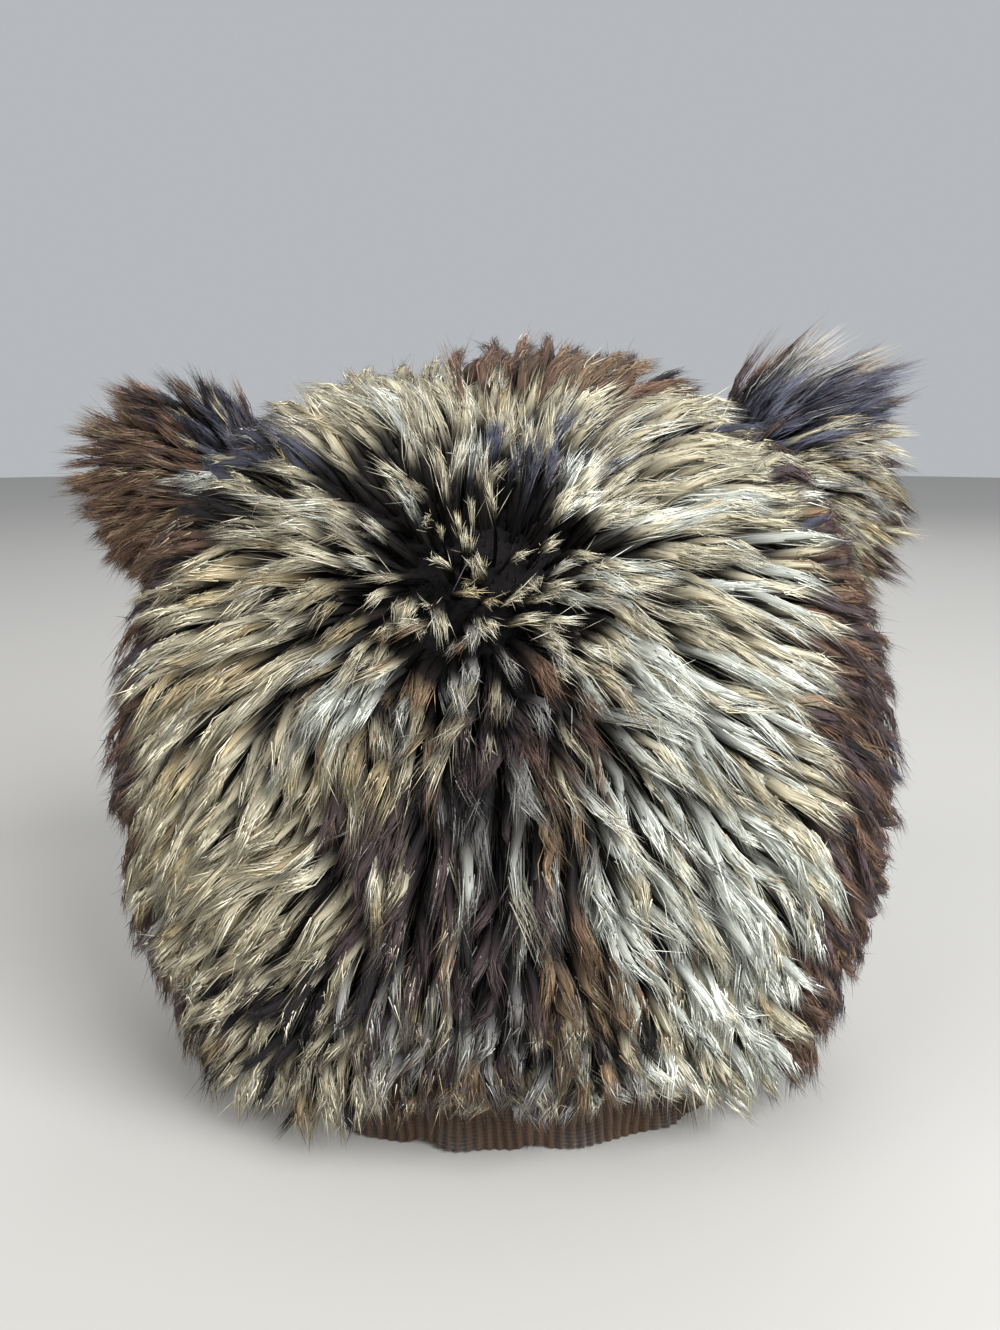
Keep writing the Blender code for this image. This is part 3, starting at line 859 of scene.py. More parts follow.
def strand_mesh(name: str, locks: Locks, style: LockStyle, chance: Chance) -> SurfaceMesh:
    """Strands of all the locks as closed three-sided blades that end in a point.

    A strand is its lock's spine plus an offset on the outer half of the lock's section, scaled by the girth
    at each station, plus a random stray that grows with the square of the station. Each ring is three points
    about the line. The map's x is the tone and shade, and its y the station.

    Args:
        name: name of the mesh.
        locks: the spines.
        style: how a lock is built.
        chance: source of random numbers.

    Returns:
        The mesh's arrays and its map.
    """
    which = np.repeat(np.arange(len(locks.spine)), style.strands)
    count = len(which)
    picked = np.array(style.strand_stations)
    stations = np.array(style.stations)[picked]
    spine, across, outward = (part[which][:, picked] for part in (locks.spine, locks.across, locks.outward))
    girth = np.array(style.strand_girth)[picked - 1][:, None]
    offset = style.section_offset((0.15, 1.25), locks.half_width[which], chance)
    wide, deep = (part[:, None, None] * girth for part in offset)
    loose = style.looseness(count, chance)[..., None]
    stray = loose * chance.normal(0.0, style.stray, (count, 1, 2)) * (stations**2)[:, None]
    line = spine + across * (wide + stray[..., :1]) + outward * (deep + style.stray_lift * stray[..., 1:])
    stretch = chance.uniform(-1.0, 1.0, (count, 1)) * style.length_spread
    line[:, -1] += (line[:, -1] - line[:, 0]) * stretch
    tangent = unit(np.gradient(line, axis=1))
    side = unit(np.cross(tangent, outward))
    lift = np.cross(side, tangent)
    rings = len(picked) - 1
    radius = style.strand_radius * chance.uniform(0.75, 1.3, (count, 1))
    radius = (radius * np.array(style.strand_thickness)[picked - 1])[:, :rings, None, None]
    turns = (chance.uniform(0.0, TURN, (count, 1)) + TURN * np.arange(3) / 3.0)[:, None, :, None]
    ring = np.cos(turns) * side[:, :rings, None] + np.sin(turns) * lift[:, :rings, None]
    ring_points = (line[:, :rings, None] + ring * radius).reshape(count, -1, 3)
    points = np.concatenate((ring_points, line[:, -1:]), axis=1)
    each = 3 * rings + 1
    caps = np.concatenate((fan(each - 1, 3 * (rings - 1), 3), ((0, 2, 1),)))
    column = fibre_columns(locks, which, style, chance)[:, None]
    width = 0.001 * np.append(np.tile((-1.0, 0.0, 1.0), rings), 0.0)
    along = np.append(np.repeat(stations[:rings], 3), 1.0) + locks.fade[which][:, None]
    walls = repeated(grid_quads(rings, 3, False, True), count, each)
    return SurfaceMesh(name, points.reshape(-1, 3), walls, repeated(caps, count, each),
                       map_of(column + width, along))


def spikes(name: str, first: Array, last: Array, radius: Array, chance: Chance) -> SurfaceMesh:
    """Straight closed spikes of four triangles: three points about each first end, joined to its last end.

    Args:
        name: name of the mesh.
        first: thick ends, (spikes, 3).
        last: points, (spikes, 3).
        radius: of the thick ends.
        chance: source of random turns about each spike's line.

    Returns:
        The mesh's arrays, without a map.
    """
    count = len(first)
    line = unit(last - first)
    side = unit(np.cross(line, (0.31, 0.52, 0.79)))
    lift = np.cross(line, side)
    turns = (chance.uniform(0.0, TURN, (count, 1)) + TURN * np.arange(3) / 3.0)[..., None]
    around = side[:, None] * np.cos(turns) + lift[:, None] * np.sin(turns)
    ring = first[:, None] + around * radius[:, None, None]
    points = np.concatenate((ring, last[:, None]), axis=1).reshape(-1, 3)
    faces = np.array(((0, 1, 3), (1, 2, 3), (2, 0, 3), (2, 1, 0)))
    return SurfaceMesh(name, points, np.zeros((0, 4), int), repeated(faces, count, 4))


def tip_mesh(name: str, locks: Locks, style: LockStyle, chance: Chance) -> SurfaceMesh:
    """Short straight fibres round the end of each lock.

    Each starts part of the way along its lock's spine and ends near its tip or past it. Both ends are offset
    on the outer half of the lock's section, times the tips' girth at that place, and the last one by a random
    stray too.

    Args:
        name: name of the mesh.
        locks: the spines.
        style: how a lock is built.
        chance: source of random numbers.

    Returns:
        The mesh's arrays and its map, whose x is the tone and shade and whose y is the place along the lock.
    """
    which = np.repeat(np.arange(len(locks.spine)), style.tips)
    count = len(which)
    stations = np.array(style.stations)
    wide, deep = style.section_offset((0.10, 1.30), locks.half_width[which], chance)
    ends = []
    places = (chance.uniform(*style.tip_start, count), chance.uniform(*style.tip_end, count))
    for place in places:
        spine, across, outward = (between_stations(part[which], stations, place)
                                  for part in (locks.spine, locks.across, locks.outward))
        girth = np.interp(place, *style.tip_girth)
        ends.append(spine + across * (wide * girth)[:, None] + outward * (deep * girth)[:, None])
    stray = style.looseness(count, chance) * chance.normal(0.0, style.stray, (count, 3))
    radius = style.tip_radius * chance.uniform(0.7, 1.35, count)
    mesh = spikes(name, ends[0], ends[1] + stray, radius, chance)
    column = fibre_columns(locks, which, style, chance)[:, None]
    mesh.uv = map_of(column, np.stack((places[0],) * 3 + (places[1],), axis=-1) + locks.fade[which][:, None])
    return mesh


def fur_mesh(name: str, locks: Locks, style: LockStyle, chance: Chance) -> SurfaceMesh:
    """Bodies, strands and tips of the locks together in one piece, held off the floor.

    Args:
        name: name of the mesh.
        locks: the spines.
        style: how a lock is built.
        chance: source of random numbers.

    Returns:
        The mesh's arrays, with a map position for each point kept just inside the map's edges.
    """
    parts = [body_mesh(name, locks, style), strand_mesh(name, locks, style, chance),
             tip_mesh(name, locks, style, chance)]
    mesh = joined(name, parts)
    mesh.points[:, 2] = np.maximum(mesh.points[:, 2], FLOOR_GAP)
    mesh.uv = mesh.uv * (1.0, 0.996) + (0.0, 0.002)
    return mesh


# Finishes


class Bench:
    """A material's node tree, with short ways to add and join its nodes."""

    def __init__(self, name: str) -> None:
        """Start a material with one Principled surface.

        Args:
            name: name of the material.
        """
        self.material = bpy.data.materials.new(name)
        self.material.use_nodes = True
        self.tree = self.material.node_tree
        self.surface = self.tree.nodes["Principled BSDF"]

    def node(self, kind: str, **settings: object) -> bpy.types.Node:
        """Add a node and set its own properties.

        Args:
            kind: the node's type.
            settings: values of its properties.

        Returns:
            The node.
        """
        made = self.tree.nodes.new(kind)
        for key, value in settings.items():
            setattr(made, key, value)
        return made

    def feed(self, slots: bpy.types.bpy_prop_collection, values: tuple) -> None:
        """Give each input its value.

        Args:
            slots: the inputs.
            values: for each input a socket to read or a constant.
        """
        for slot, value in zip(slots, values):
            if isinstance(value, Socket):
                self.tree.links.new(value, slot)
            else:
                slot.default_value = value

    def math(self, operation: str, *terms: object) -> Socket:
        """Arithmetic on sockets or numbers.

        Args:
            operation: the Math node's operation.
            terms: a socket or a number for each of its inputs.

        Returns:
            The result's socket.
        """
        made = self.node("ShaderNodeMath", operation=operation)
        self.feed(made.inputs, terms)
        return made.outputs[0]

    def ramp(self, factor: Socket, stops: list[tuple[float, tuple]]) -> Socket:
        """Colour ramp over a factor. Positions are set first, because setting one can reorder the stops.

        Args:
            factor: place along the ramp, 0 to 1.
            stops: position and linear colour of each stop.

        Returns:
            The colour's socket.
        """
        made = self.node("ShaderNodeValToRGB")
        line = made.color_ramp
        while len(line.elements) < len(stops):
            line.elements.new(0.5)
        for element, stop in zip(line.elements, stops):
            element.position = stop[0]
        for element, stop in zip(line.elements, stops):
            element.color = stop[1]
        self.feed(made.inputs, (factor,))
        return made.outputs[0]

    def mix(self, factor: object, first: object, second: object, blend: str = "MIX") -> Socket:
        """Mix two colours.

        Args:
            factor: share of the second, a socket or a number.
            first: a socket or a linear colour.
            second: the same.
            blend: the Mix node's way of mixing.

        Returns:
            The colour's socket.
        """
        made = self.node("ShaderNodeMix", data_type="RGBA", blend_type=blend)
        self.feed((made.inputs[0], made.inputs[6], made.inputs[7]), (factor, first, second))
        return made.outputs[2]

    def map_axes(self, name: str) -> tuple[Socket, Socket]:
        """The two coordinates of one of the piece's maps.

        Args:
            name: name of the map.

        Returns:
            The sockets of the map's x and y.
        """
        split = self.node("ShaderNodeSeparateXYZ")
        self.feed(split.inputs, (self.node("ShaderNodeUVMap", uv_map=name).outputs[0],))
        return split.outputs[0], split.outputs[1]

    def noise(self, place: Socket, scale: float, detail: float = 2.0) -> Socket:
        """Noise of about 0 to 1.

        Args:
            place: the coordinates it is read at.
            scale: its waves in one unit of the coordinates.
            detail: how many finer octaves it has.

        Returns:
            The value's socket.
        """
        made = self.node("ShaderNodeTexNoise")
        self.feed([made.inputs[name] for name in ("Vector", "Scale", "Detail")], (place, scale, detail))
        return made.outputs[0]

    def finish(self, colour: Socket, height: Socket, strength: float,
               depth: float, roughness: float, specular: float, sheen: float = 0.0) -> Material:
        """Give the surface its colour, its bump and its constant levels.

        Args:
            colour: the base colour.
            height: what the bump follows.
            strength: of the bump, 0 to 1.
            depth: metres between the bump's lowest and highest points.
            roughness: of the surface.
            specular: its specular level.
            sheen: its sheen weight.

        Returns:
            The material.
        """
        bump = self.node("ShaderNodeBump")
        self.feed((bump.inputs["Height"], bump.inputs["Strength"], bump.inputs["Distance"]),
                  (height, strength, depth))
        surface = self.surface.inputs
        self.feed((surface["Base Color"], surface["Normal"]), (colour, bump.outputs[0]))
        surface["Roughness"].default_value = roughness
        surface["Specular IOR Level"].default_value = specular
        surface["Sheen Weight"].default_value = sheen
        return self.material


@dataclass(frozen=True)
class FibreFinish:
    """Long soft pile: colour from the lock's tone and place along it, fibre lines and painted shade at the
    root.
    """

    name: str = "long_pile"
    roughness: float = 0.68
    specular: float = 0.18
    root_blend: float = 0.28
    border_noise: float = 0.30
    fibres: float = 280.0
    fibre_stretch: float = 3.0
    fibre_contrast: float = 1.45
    root_shade_gain: float = 0.50
    tip_shade_gain: float = 0.68
    fibre_depth: float = 0.30 * MM

    def material(self) -> Material:
        """Root colour below and tip colour above, each a ramp over the map's x. The map's y says where.

        The root's colour gives way to the tip's over a blend that starts at the tone's root share plus some
        of the fibre noise. The colour is multiplied by a painted shade, a gain that grows with the square of
        y so the fibres are darkest at the root as though deep in the coat, and by the fibre lines: noise that
        is fine across the map and long along it, which is also the bump.

        Returns:
            The material.
        """
        bench = Bench(self.name)
        across, along = bench.map_axes("OFBake")
        tips, roots, reach = [], [], []
        for tone, colours in TONES.items():
            for place, tip in ((0.10, colours.dark_tip), (0.90, colours.light_tip)):
                column = (tone.value + place) / len(Tone)
                tips.append((column, linear(tip)))
                roots.append((column, linear(colours.root)))
                reach.append((column, (colours.root_share,) * 3 + (1.0,)))
        stretched = bench.node("ShaderNodeCombineXYZ")
        bench.feed(stretched.inputs, (bench.math("MULTIPLY", across, self.fibres),
                                      bench.math("MULTIPLY", along, self.fibre_stretch)))
        fibre = bench.noise(stretched.outputs[0], 1.0)
        border = bench.math("MULTIPLY_ADD", fibre, self.border_noise, bench.ramp(across, reach))
        factor = bench.node("ShaderNodeClamp")
        rise = bench.math("DIVIDE", bench.math("SUBTRACT", along, border), self.root_blend)
        bench.feed(factor.inputs, (rise,))
        colour = bench.mix(factor.outputs[0], bench.ramp(across, roots), bench.ramp(across, tips))
        middle = bench.math("SUBTRACT", fibre, 0.5)
        lines = bench.math("MULTIPLY_ADD", middle, 2.0 * self.fibre_contrast, 1.0)
        # Painted shade: the gain is lowest at the root and grows towards the tip, as though the roots lay in
        # the coat's shade.
        root_shade = bench.math("MULTIPLY_ADD", bench.math("POWER", along, 2.0), self.tip_shade_gain, self.root_shade_gain)
        lines_and_root_shade = bench.node("ShaderNodeCombineColor")
        bench.feed(lines_and_root_shade.inputs, (bench.math("MULTIPLY", lines, root_shade),) * 3)
        shaded = bench.mix(1.0, colour, lines_and_root_shade.outputs[0], "MULTIPLY")
        return bench.finish(shaded, fibre, 1.0, self.fibre_depth, self.roughness, self.specular)


@dataclass(frozen=True)
class UndercoatFinish:
    """The short dark coat between the roots of the pile; its near-black is partly painted shade."""

    name: str
    colour: tuple[int, int, int]
    fleck: tuple[int, int, int]
    grain: float = 900.0
    depth: float = 0.6 * MM

    def material(self) -> Material:
        """Two dark colours mixed by fine noise, with the same noise as bump.

        Returns:
            The material.
        """
        bench = Bench(self.name)
        noise = bench.noise(bench.node("ShaderNodeTexCoord").outputs["Object"], self.grain, 4.0)
        colour = bench.mix(noise, linear(self.colour), linear(self.fleck))
        return bench.finish(colour, noise, 0.6, self.depth, 0.95, 0.15)


@dataclass(frozen=True)
class KnitFinish:
    """Matt yarn in rows of small stitches, drawn on a map of wales and courses."""

    name: str
    light: tuple[int, int, int]
    dark: tuple[int, int, int]
    wales: float
    courses: float
    slant: float = 1.1
    stitch_share: float = 0.11
    rib_share: float = 0.36
    fuzz_grain: float = 1600.0
    mottle_grain: float = 90.0
    depth: float = 0.35 * MM

    def material(self) -> Material:
        """Yarn with painted highlight on the ribs and painted shade between them.

        The ribs are a cosine across the wale and the stitches a sine of the course plus a slant that goes
        back and forth across the wale. In the colour they are painted shade and highlight of the knit's
        relief.
        Fuzz and mottling are fine and slow noise on Object coordinates.

        Returns:
            The material.
        """
        bench = Bench(self.name)
        across, along = bench.map_axes("UVMap")
        wale = bench.math("MULTIPLY", across, self.wales)
        course = bench.math("MULTIPLY", along, self.courses)
        phase = bench.math("MULTIPLY_ADD", bench.math("PINGPONG", wale, 0.5), self.slant, course)
        stitch = bench.math("SINE", bench.math("MULTIPLY", phase, TURN))
        rib = bench.math("COSINE", bench.math("MULTIPLY", wale, TURN))
        ribbed = bench.math("MULTIPLY_ADD", rib, self.rib_share, 0.5)
        wave = bench.math("MULTIPLY_ADD", stitch, self.stitch_share, ribbed)
        place = bench.node("ShaderNodeTexCoord").outputs["Object"]
        fuzz = bench.noise(place, self.fuzz_grain, 3.0)
        mottle = bench.math("MULTIPLY", bench.noise(place, self.mottle_grain), 0.7)
        specks = bench.math("SUBTRACT", bench.math("MULTIPLY_ADD", fuzz, 0.5, mottle), 0.35)
        # Painted shade and highlight: the ribs and stitches darken the yarn in the grooves, plus its fuzz and
        # mottling.
        shade = bench.math("MULTIPLY_ADD", wave, 0.60, specks)
        height = bench.math("MULTIPLY_ADD", fuzz, 0.5, wave)
        colour = bench.mix(shade, linear(self.dark), linear(self.light))
        return bench.finish(colour, height, 0.8, self.depth, 0.9, 0.2, 0.15)


def dress(item: bpy.types.Object, material: Material, slot: str, *nodes: str) -> None:
    """Give a piece its material and its place in the frame.

    Args:
        item: the piece.
        material: its finish.
        slot: the record's slot for the piece; not used.
        nodes: the solids that it stands for.
    """
    item.data.materials.append(material)
    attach(item, "root")
    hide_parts(*nodes)
    LOG.info("%s: %d triangles", item.name, len(item.data.loops) - 2 * len(item.data.polygons))


# The crown's pile


@dataclass(frozen=True)
class PileLie:
    """How the pile lies on the crown: away from a whorl, bent downwards, with soft swirls."""

    dome: ClothDome
    whorl_azimuth: float = -5.0
    whorl_elevation: float = 42.0
    whorl_spread: float = 42.0 * MM
    gravity_share: float = 0.35
    left_ease: float = 0.75
    left_reach: float = 60.0 * MM
    swirls: tuple[tuple[float, float], ...] = ((13.0, 60.0 * MM), (11.0, 17.0 * MM))
    skirt_top: float = 44.0 * MM
    skirt_tuck: float = 0.22
    standing_share: float = 0.3

    @property
    def whorl(self) -> Array:
        """Point of the cloth at the middle of the whorl."""
        return self.dome.point(heading(self.whorl_azimuth, self.whorl_elevation))

    def laid(self, points: Array) -> Array:
        """How far the pile lies down: 0 at the whorl, rising to 1 at its spread."""
        return np.minimum(1.0, np.linalg.norm(points - self.whorl, axis=-1) / self.whorl_spread)

    def direction(self, points: Array, normals: Array) -> Array:
        """Lie at each point: away from the whorl along the cloth, bent down below it, turned by soft noise.

        Args:
            points: positions, (..., 3).
            normals: outward directions there.

        Returns:
            Unit directions along the cloth.
        """
        away = unit(along_surface(points - self.whorl, normals))
        down = along_surface(np.broadcast_to(-UP, points.shape), normals)
        ease = 1.0 - self.left_ease * np.clip(points[..., :1] / self.left_reach, 0.0, 1.0)
        bent = unit(away + down * self.gravity_share * ease * (points[..., 2:3] < self.whorl[2]))
        angle = np.zeros(points.shape[:-1])
        for most, scale in self.swirls:
            angle = angle + math.radians(most) * smooth_noise(points, scale, Noise.SWIRLS)
        return turned(bent, normals, angle[..., None])

    def base(self, points: Array) -> Array:
        """Drop points on to the cloth, or below the skirt line hold them where the pile hangs off the band.

        Below the line the distance from the axis is the cloth's at the line, less the tuck times the drop.

        Args:
            points: positions, (..., 3).

        Returns:
            The points moved.
        """
        on_cloth = self.dome.point(points - self.dome.centre)
        edge = self.dome.point(points * LEVEL + UP * (self.skirt_top - self.dome.waist))
        radius = np.hypot(edge[..., 0], edge[..., 1]) - self.skirt_tuck * (self.skirt_top - points[..., 2])
        hanging = unit(points * LEVEL) * radius[..., None] + points * UP
        return np.where(points[..., 2:3] > self.skirt_top, on_cloth, hanging)

    def normal(self, points: Array) -> Array:
        """Outward direction of the pile: the cloth's normal, turned level where the pile hangs.

        Args:
            points: positions, (..., 3).

        Returns:
            Unit directions.
        """
        normal = self.dome.normal(points - self.dome.centre)
        share = np.clip((self.dome.waist - points[..., 2:3]) / (self.dome.waist - self.skirt_top), 0.0, 1.0)
        return unit(normal * (1.0 - share) + unit(points * LEVEL) * share)


@dataclass(frozen=True)
class EarPlace:
    """Where an ear stands and how its locks differ.

    The angles are degrees: its root's direction from the crown's centre, its tilt outwards and its roll about
    its length. The cuts, the growth and the fall are shares of the length of its lower, end and upper locks,
    and the sweep is how far the upper ones end outwards.
    """

    name: str
    slot: str
    side: float
    azimuth: float
    elevation: float
    tilt: float
    roll: float
    lower_cut: float
    sweep: float
    upper_growth: float
    end_cut: float
    fall: float
    style: LockStyle


EAR_PLACES: tuple[EarPlace, ...] = (
    EarPlace("ear_right", "right_ear_pile", side=-1.0, azimuth=-92.0, elevation=43.0, tilt=31.0, roll=4.0,
             lower_cut=0.80, sweep=0.0, upper_growth=-0.08, end_cut=0.02, fall=0.30,
             style=LockStyle(half_width=1.35 * MM, tips=34, mixed_share=0.42, shade_spread=0.30)),
    EarPlace("ear_left", "left_ear_pile", side=1.0, azimuth=92.0, elevation=46.0, tilt=34.0, roll=-6.0,
             lower_cut=0.30, sweep=6.0 * MM, upper_growth=0.22, end_cut=0.22, fall=0.55,
             style=LockStyle(half_width=1.35 * MM, tips=34, mixed_share=0.30, shade_spread=0.22)),
)


@dataclass
class CrownPile:
    """The crown's undercoat and its locks."""

    dome: ClothDome
    lie: PileLie
    pattern: CoatPattern
    style: LockStyle = LockStyle(tips=12)
    side_style: LockStyle = LockStyle(tips=27)
    face_style: LockStyle = LockStyle(tips=33)
    undercoat: float = 5.0 * MM
    ring_pitch: float = 8.8 * MM
    lock_pitch: float = 3.0 * MM
    length: float = 28.5 * MM
    length_noise: tuple[float, float] = (0.12, 30.0 * MM)
    root_lift: float = 4.0 * MM
    rise_power: float = 1.8
    tip_lift: float = 17.0 * MM
    tip_lift_spread: float = 2.6 * MM
    brown_length: float = 0.90
    brown_drop: float = 2.8 * MM
    flare: float = 4.5 * MM
    flare_top: float = 88.0 * MM
    flare_fall: float = 30.0 * MM
    flare_reach: float = 60.0 * MM
    turn_spread: float = 7.0
    wave: float = 1.1 * MM
    wave_turn: float = 4.6
    wave_scale: float = 16.0 * MM
    curl: float = 1.9
    shade_noise: tuple[float, float] = (0.28, 14.0 * MM)
    shade_spread: float = 0.14
    pit_level: float = -0.84
    pit_ease: float = 0.5
    pit_scale: float = 13.0 * MM
    laid_fade: float = 0.17
    left_fade: float = 0.11
    middle_fade: float = 0.19
    whorl_fade: float = 0.09
    crest: tuple[float, float, float] = (14.0 * MM, 34.0 * MM, 10.0 * MM)
    crest_depth: float = 30.0 * MM
    middle_spread: float = 20.0
    middle_drop: float = 20.0 * MM
    fade_spread: float = 0.05
    nap: int = 2600
    nap_length: float = 13.0 * MM
    nap_radius: float = 0.16 * MM
    nap_gather: tuple[float, float] = (0.7, 2.4)
    nap_margin: float = 6.0 * MM
    nap_spread: float = 0.25
    underfur: int = 5600
    underfur_length: float = 17.0 * MM
    underfur_radius: float = 0.26 * MM
    underfur_reach: tuple[float, float] = (0.36, 0.66)
    underfur_draws: int = 9
    underfur_margin: float = 16.0 * MM
    underfur_laid: float = 0.85
    underfur_rise: float = 0.34
    underfur_spread: float = 0.12
    underfur_shade: tuple[float, float] = (0.35, 0.25)
    tufts: int = 260
    tuft_spread: float = 20.0
    tuft_lean: float = 0.25
    hem_spread: tuple[float, float] = (-2.0 * MM, 5.0 * MM)
    hem_noise: tuple[float, float] = (3.5 * MM, 12.0 * MM)
    lowest: float = 3.0 * MM
    trims: int = 12
    trim: float = 0.88
    floor_clearance: float = 5.0 * MM
    opening_azimuth: float = 4.0
    opening_spread: float = 20.0
    opening_blend: float = 13.0
    opening_height: float = 25.0 * MM
    ear_parting: tuple[float, float] = (22.0 * MM, 9.0 * MM)
    gores: tuple[str, ...] = ("fur_back_right", "fur_side_right", "fur_face_right", "fur_face_left",
                              "fur_side_left", "fur_back_left")
    seed: int = 31

    def roots(self, chance: Chance) -> Array:
        """Directions of the locks' roots, in rings round the whorl, so that each ring lies over the next.

        A root is at a random angle round the whorl and at its ring's distance from it plus a share of the
        pitch. Roots where soft noise is under the pits' level are left out, which are fewer away from the
        whorl. Tufts are added round its middle, and roots below the rim of the cloth are left out.

        Args:
            chance: source of random numbers.

        Returns:
            Unit directions from the cloth's centre.
        """
        pole = heading(self.lie.whorl_azimuth, self.lie.whorl_elevation)
        side = unit(np.cross(UP, pole))
        upward = np.cross(pole, side)
        reach = 1.06 * self.dome.half_width
        rings = []
        for number in range(int(math.pi * reach / self.ring_pitch)):
            away = (number + 0.35) * self.ring_pitch / reach
            count = max(5, round(TURN * reach * math.sin(away) / self.lock_pitch))
            turn = (np.arange(count) + chance.uniform(-0.4, 0.4, count)) * TURN / count + 0.7 * number
            tilt = (away + chance.uniform(-0.42, 0.42, count) * self.ring_pitch / reach)[:, None]
            around = side * np.cos(turn)[:, None] + upward * np.sin(turn)[:, None]
            towards = pole * np.cos(tilt) + around * np.sin(tilt)
            level = self.pit_level - self.pit_ease * (self.lie.laid(self.dome.point(towards)) == 1.0)
            rings.append(towards[smooth_noise(self.dome.point(towards), self.pit_scale, Noise.PITS) > level])
        radius = np.radians(self.tuft_spread) * np.sqrt(chance.uniform(0.0, 1.0, self.tufts))[:, None]
        turn = chance.uniform(0.0, TURN, (self.tufts, 1))
        rings.append(unit(pole + radius * (side * np.cos(turn) + upward * np.sin(turn))))
        towards = np.concatenate(rings)
        return towards[self.dome.point(towards)[:, 2] > self.dome.rim + 1.0 * MM]

    def lowest_tip(self, azimuth: Array) -> Array:
        """Lowest height of a tip: just off the floor, and higher over the face, where the band shows.

        Args:
            azimuth: of the locks' roots, degrees.

        Returns:
            Heights in metres.
        """
        away = np.abs((azimuth - self.opening_azimuth + 180.0) % 360.0 - 180.0)
        share = np.clip((away - self.opening_spread) / self.opening_blend, 0.0, 1.0)
        return self.opening_height + (self.floor_clearance - self.opening_height) * share

    def clear_of_ears(self, points: Array) -> Array:
        """Whether roots lie outside the oval that each ear's root covers.

        Args:
            points: the roots on the cloth.

        Returns:
            True or false for each root.
        """
        clear = np.ones(len(points), bool)
        for place in EAR_PLACES:
            root = self.dome.point(heading(place.azimuth, place.elevation))
            offset = points - root
            around = np.hypot(offset[:, 0], offset[:, 2]) / self.ear_parting[0]
            clear &= np.hypot(around, offset[:, 1] / self.ear_parting[1]) > 1.0
        return clear

    def spines(self, towards: Array, length: Array, tip_lift: Array,
               turn: Array) -> tuple[Array, Array, Array]:
        """Follow the lie of the pile from each root.

        Between stations the base steps along the lie and drops back on to the cloth. The spine stands off it
        by the root's lift plus 1 - (1 - s)^p of the way to the tip's, and more where the pile stands up.

        Args:
            towards: directions of the roots.
            length: of each lock.
            tip_lift: how far each tip stands off the cloth.
            turn: how far each lock is turned from the lie, in radians.

        Returns:
            Points, crossing directions and outward directions, each (locks, stations, 3).
        """
        base = self.dome.point(towards)
        laid = self.lie.laid(base)
        parts = []
        travelled = 0.0
        for station in self.style.stations:
            normal = self.lie.normal(base)
            lie = turned(self.lie.direction(base, normal), normal, turn[:, None])
            base = self.lie.base(base + lie * ((station - travelled) * length * laid)[:, None])
            travelled = station
            normal = self.lie.normal(base)
            lie = unit(along_surface(lie, normal))
            rise = 1.0 - (1.0 - station) ** self.rise_power
            lift = self.root_lift + (tip_lift - self.root_lift) * rise
            lift = lift + (1.0 - laid) * station * self.lie.standing_share * length
            parts.append((base + normal * lift[:, None], np.cross(normal, lie), normal))
        return tuple(np.stack(part, axis=1) for part in zip(*parts))

    def tip_lifts(self, base: Array, brown: Array, chance: Chance) -> Array:
        """How far each tip stands off the cloth.

        A random lift, plus the crest's rise times a bell about it on top of the hat, plus the flare low down
        at the sides, less the brown pile's drop.

        Args:
            base: roots on the cloth.
            brown: whether each lock is of the short brown pile.
            chance: source of random numbers.

        Returns:
            Metres for each lock.
        """
        spread = self.tip_lift_spread
        lift = self.tip_lift + np.clip(chance.normal(0.0, spread, len(base)), -2.0 * spread, 1.4 * spread)
        middle_x, half, rise = self.crest
        ridge = np.exp(-((base[:, 0] - middle_x) / half) ** 2 - (base[:, 1] / self.crest_depth) ** 2)
        lift = lift + rise * ridge * (base[:, 2] > self.lie.whorl[2])
        low = np.clip((self.flare_top - base[:, 2]) / self.flare_fall, 0.0, 1.0)
        lift = lift + self.flare * low * np.clip(np.abs(base[:, 0]) / self.flare_reach, 0.0, 1.0)
        return lift - np.where(brown, self.brown_drop, 0.0)

    def trimmed(self, towards: Array, azimuth: Array, length: Array, tip_lift: Array,
                chance: Chance) -> tuple[Array, Array, Array, Array]:
        """Spines of the locks, each shortened until it clears the lowest height allowed there.

        Args:
            towards: directions of the roots.
            azimuth: their azimuths in degrees.
            length: of each lock before it is trimmed.
            tip_lift: how far each tip stands off the cloth.
            chance: source of random numbers.

        Returns:
            Points, crossing directions and outward directions, and each lock's length.
        """
        turn = np.radians(chance.normal(0.0, self.turn_spread, len(towards)))
        lowest = self.lowest_tip(azimuth) + chance.uniform(*self.hem_spread, len(towards))
        height, scale = self.hem_noise
        lowest = lowest + height * smooth_noise(self.dome.point(towards) * LEVEL, scale, Noise.HEM)
        lowest = np.maximum(lowest, self.lowest)
        for _ in range(self.trims):
            spine, across, outward = self.spines(towards, length, tip_lift, turn)
            length = np.where(spine[..., 2].min(axis=1) < lowest, self.trim * length, length)
        return spine, across, outward, length

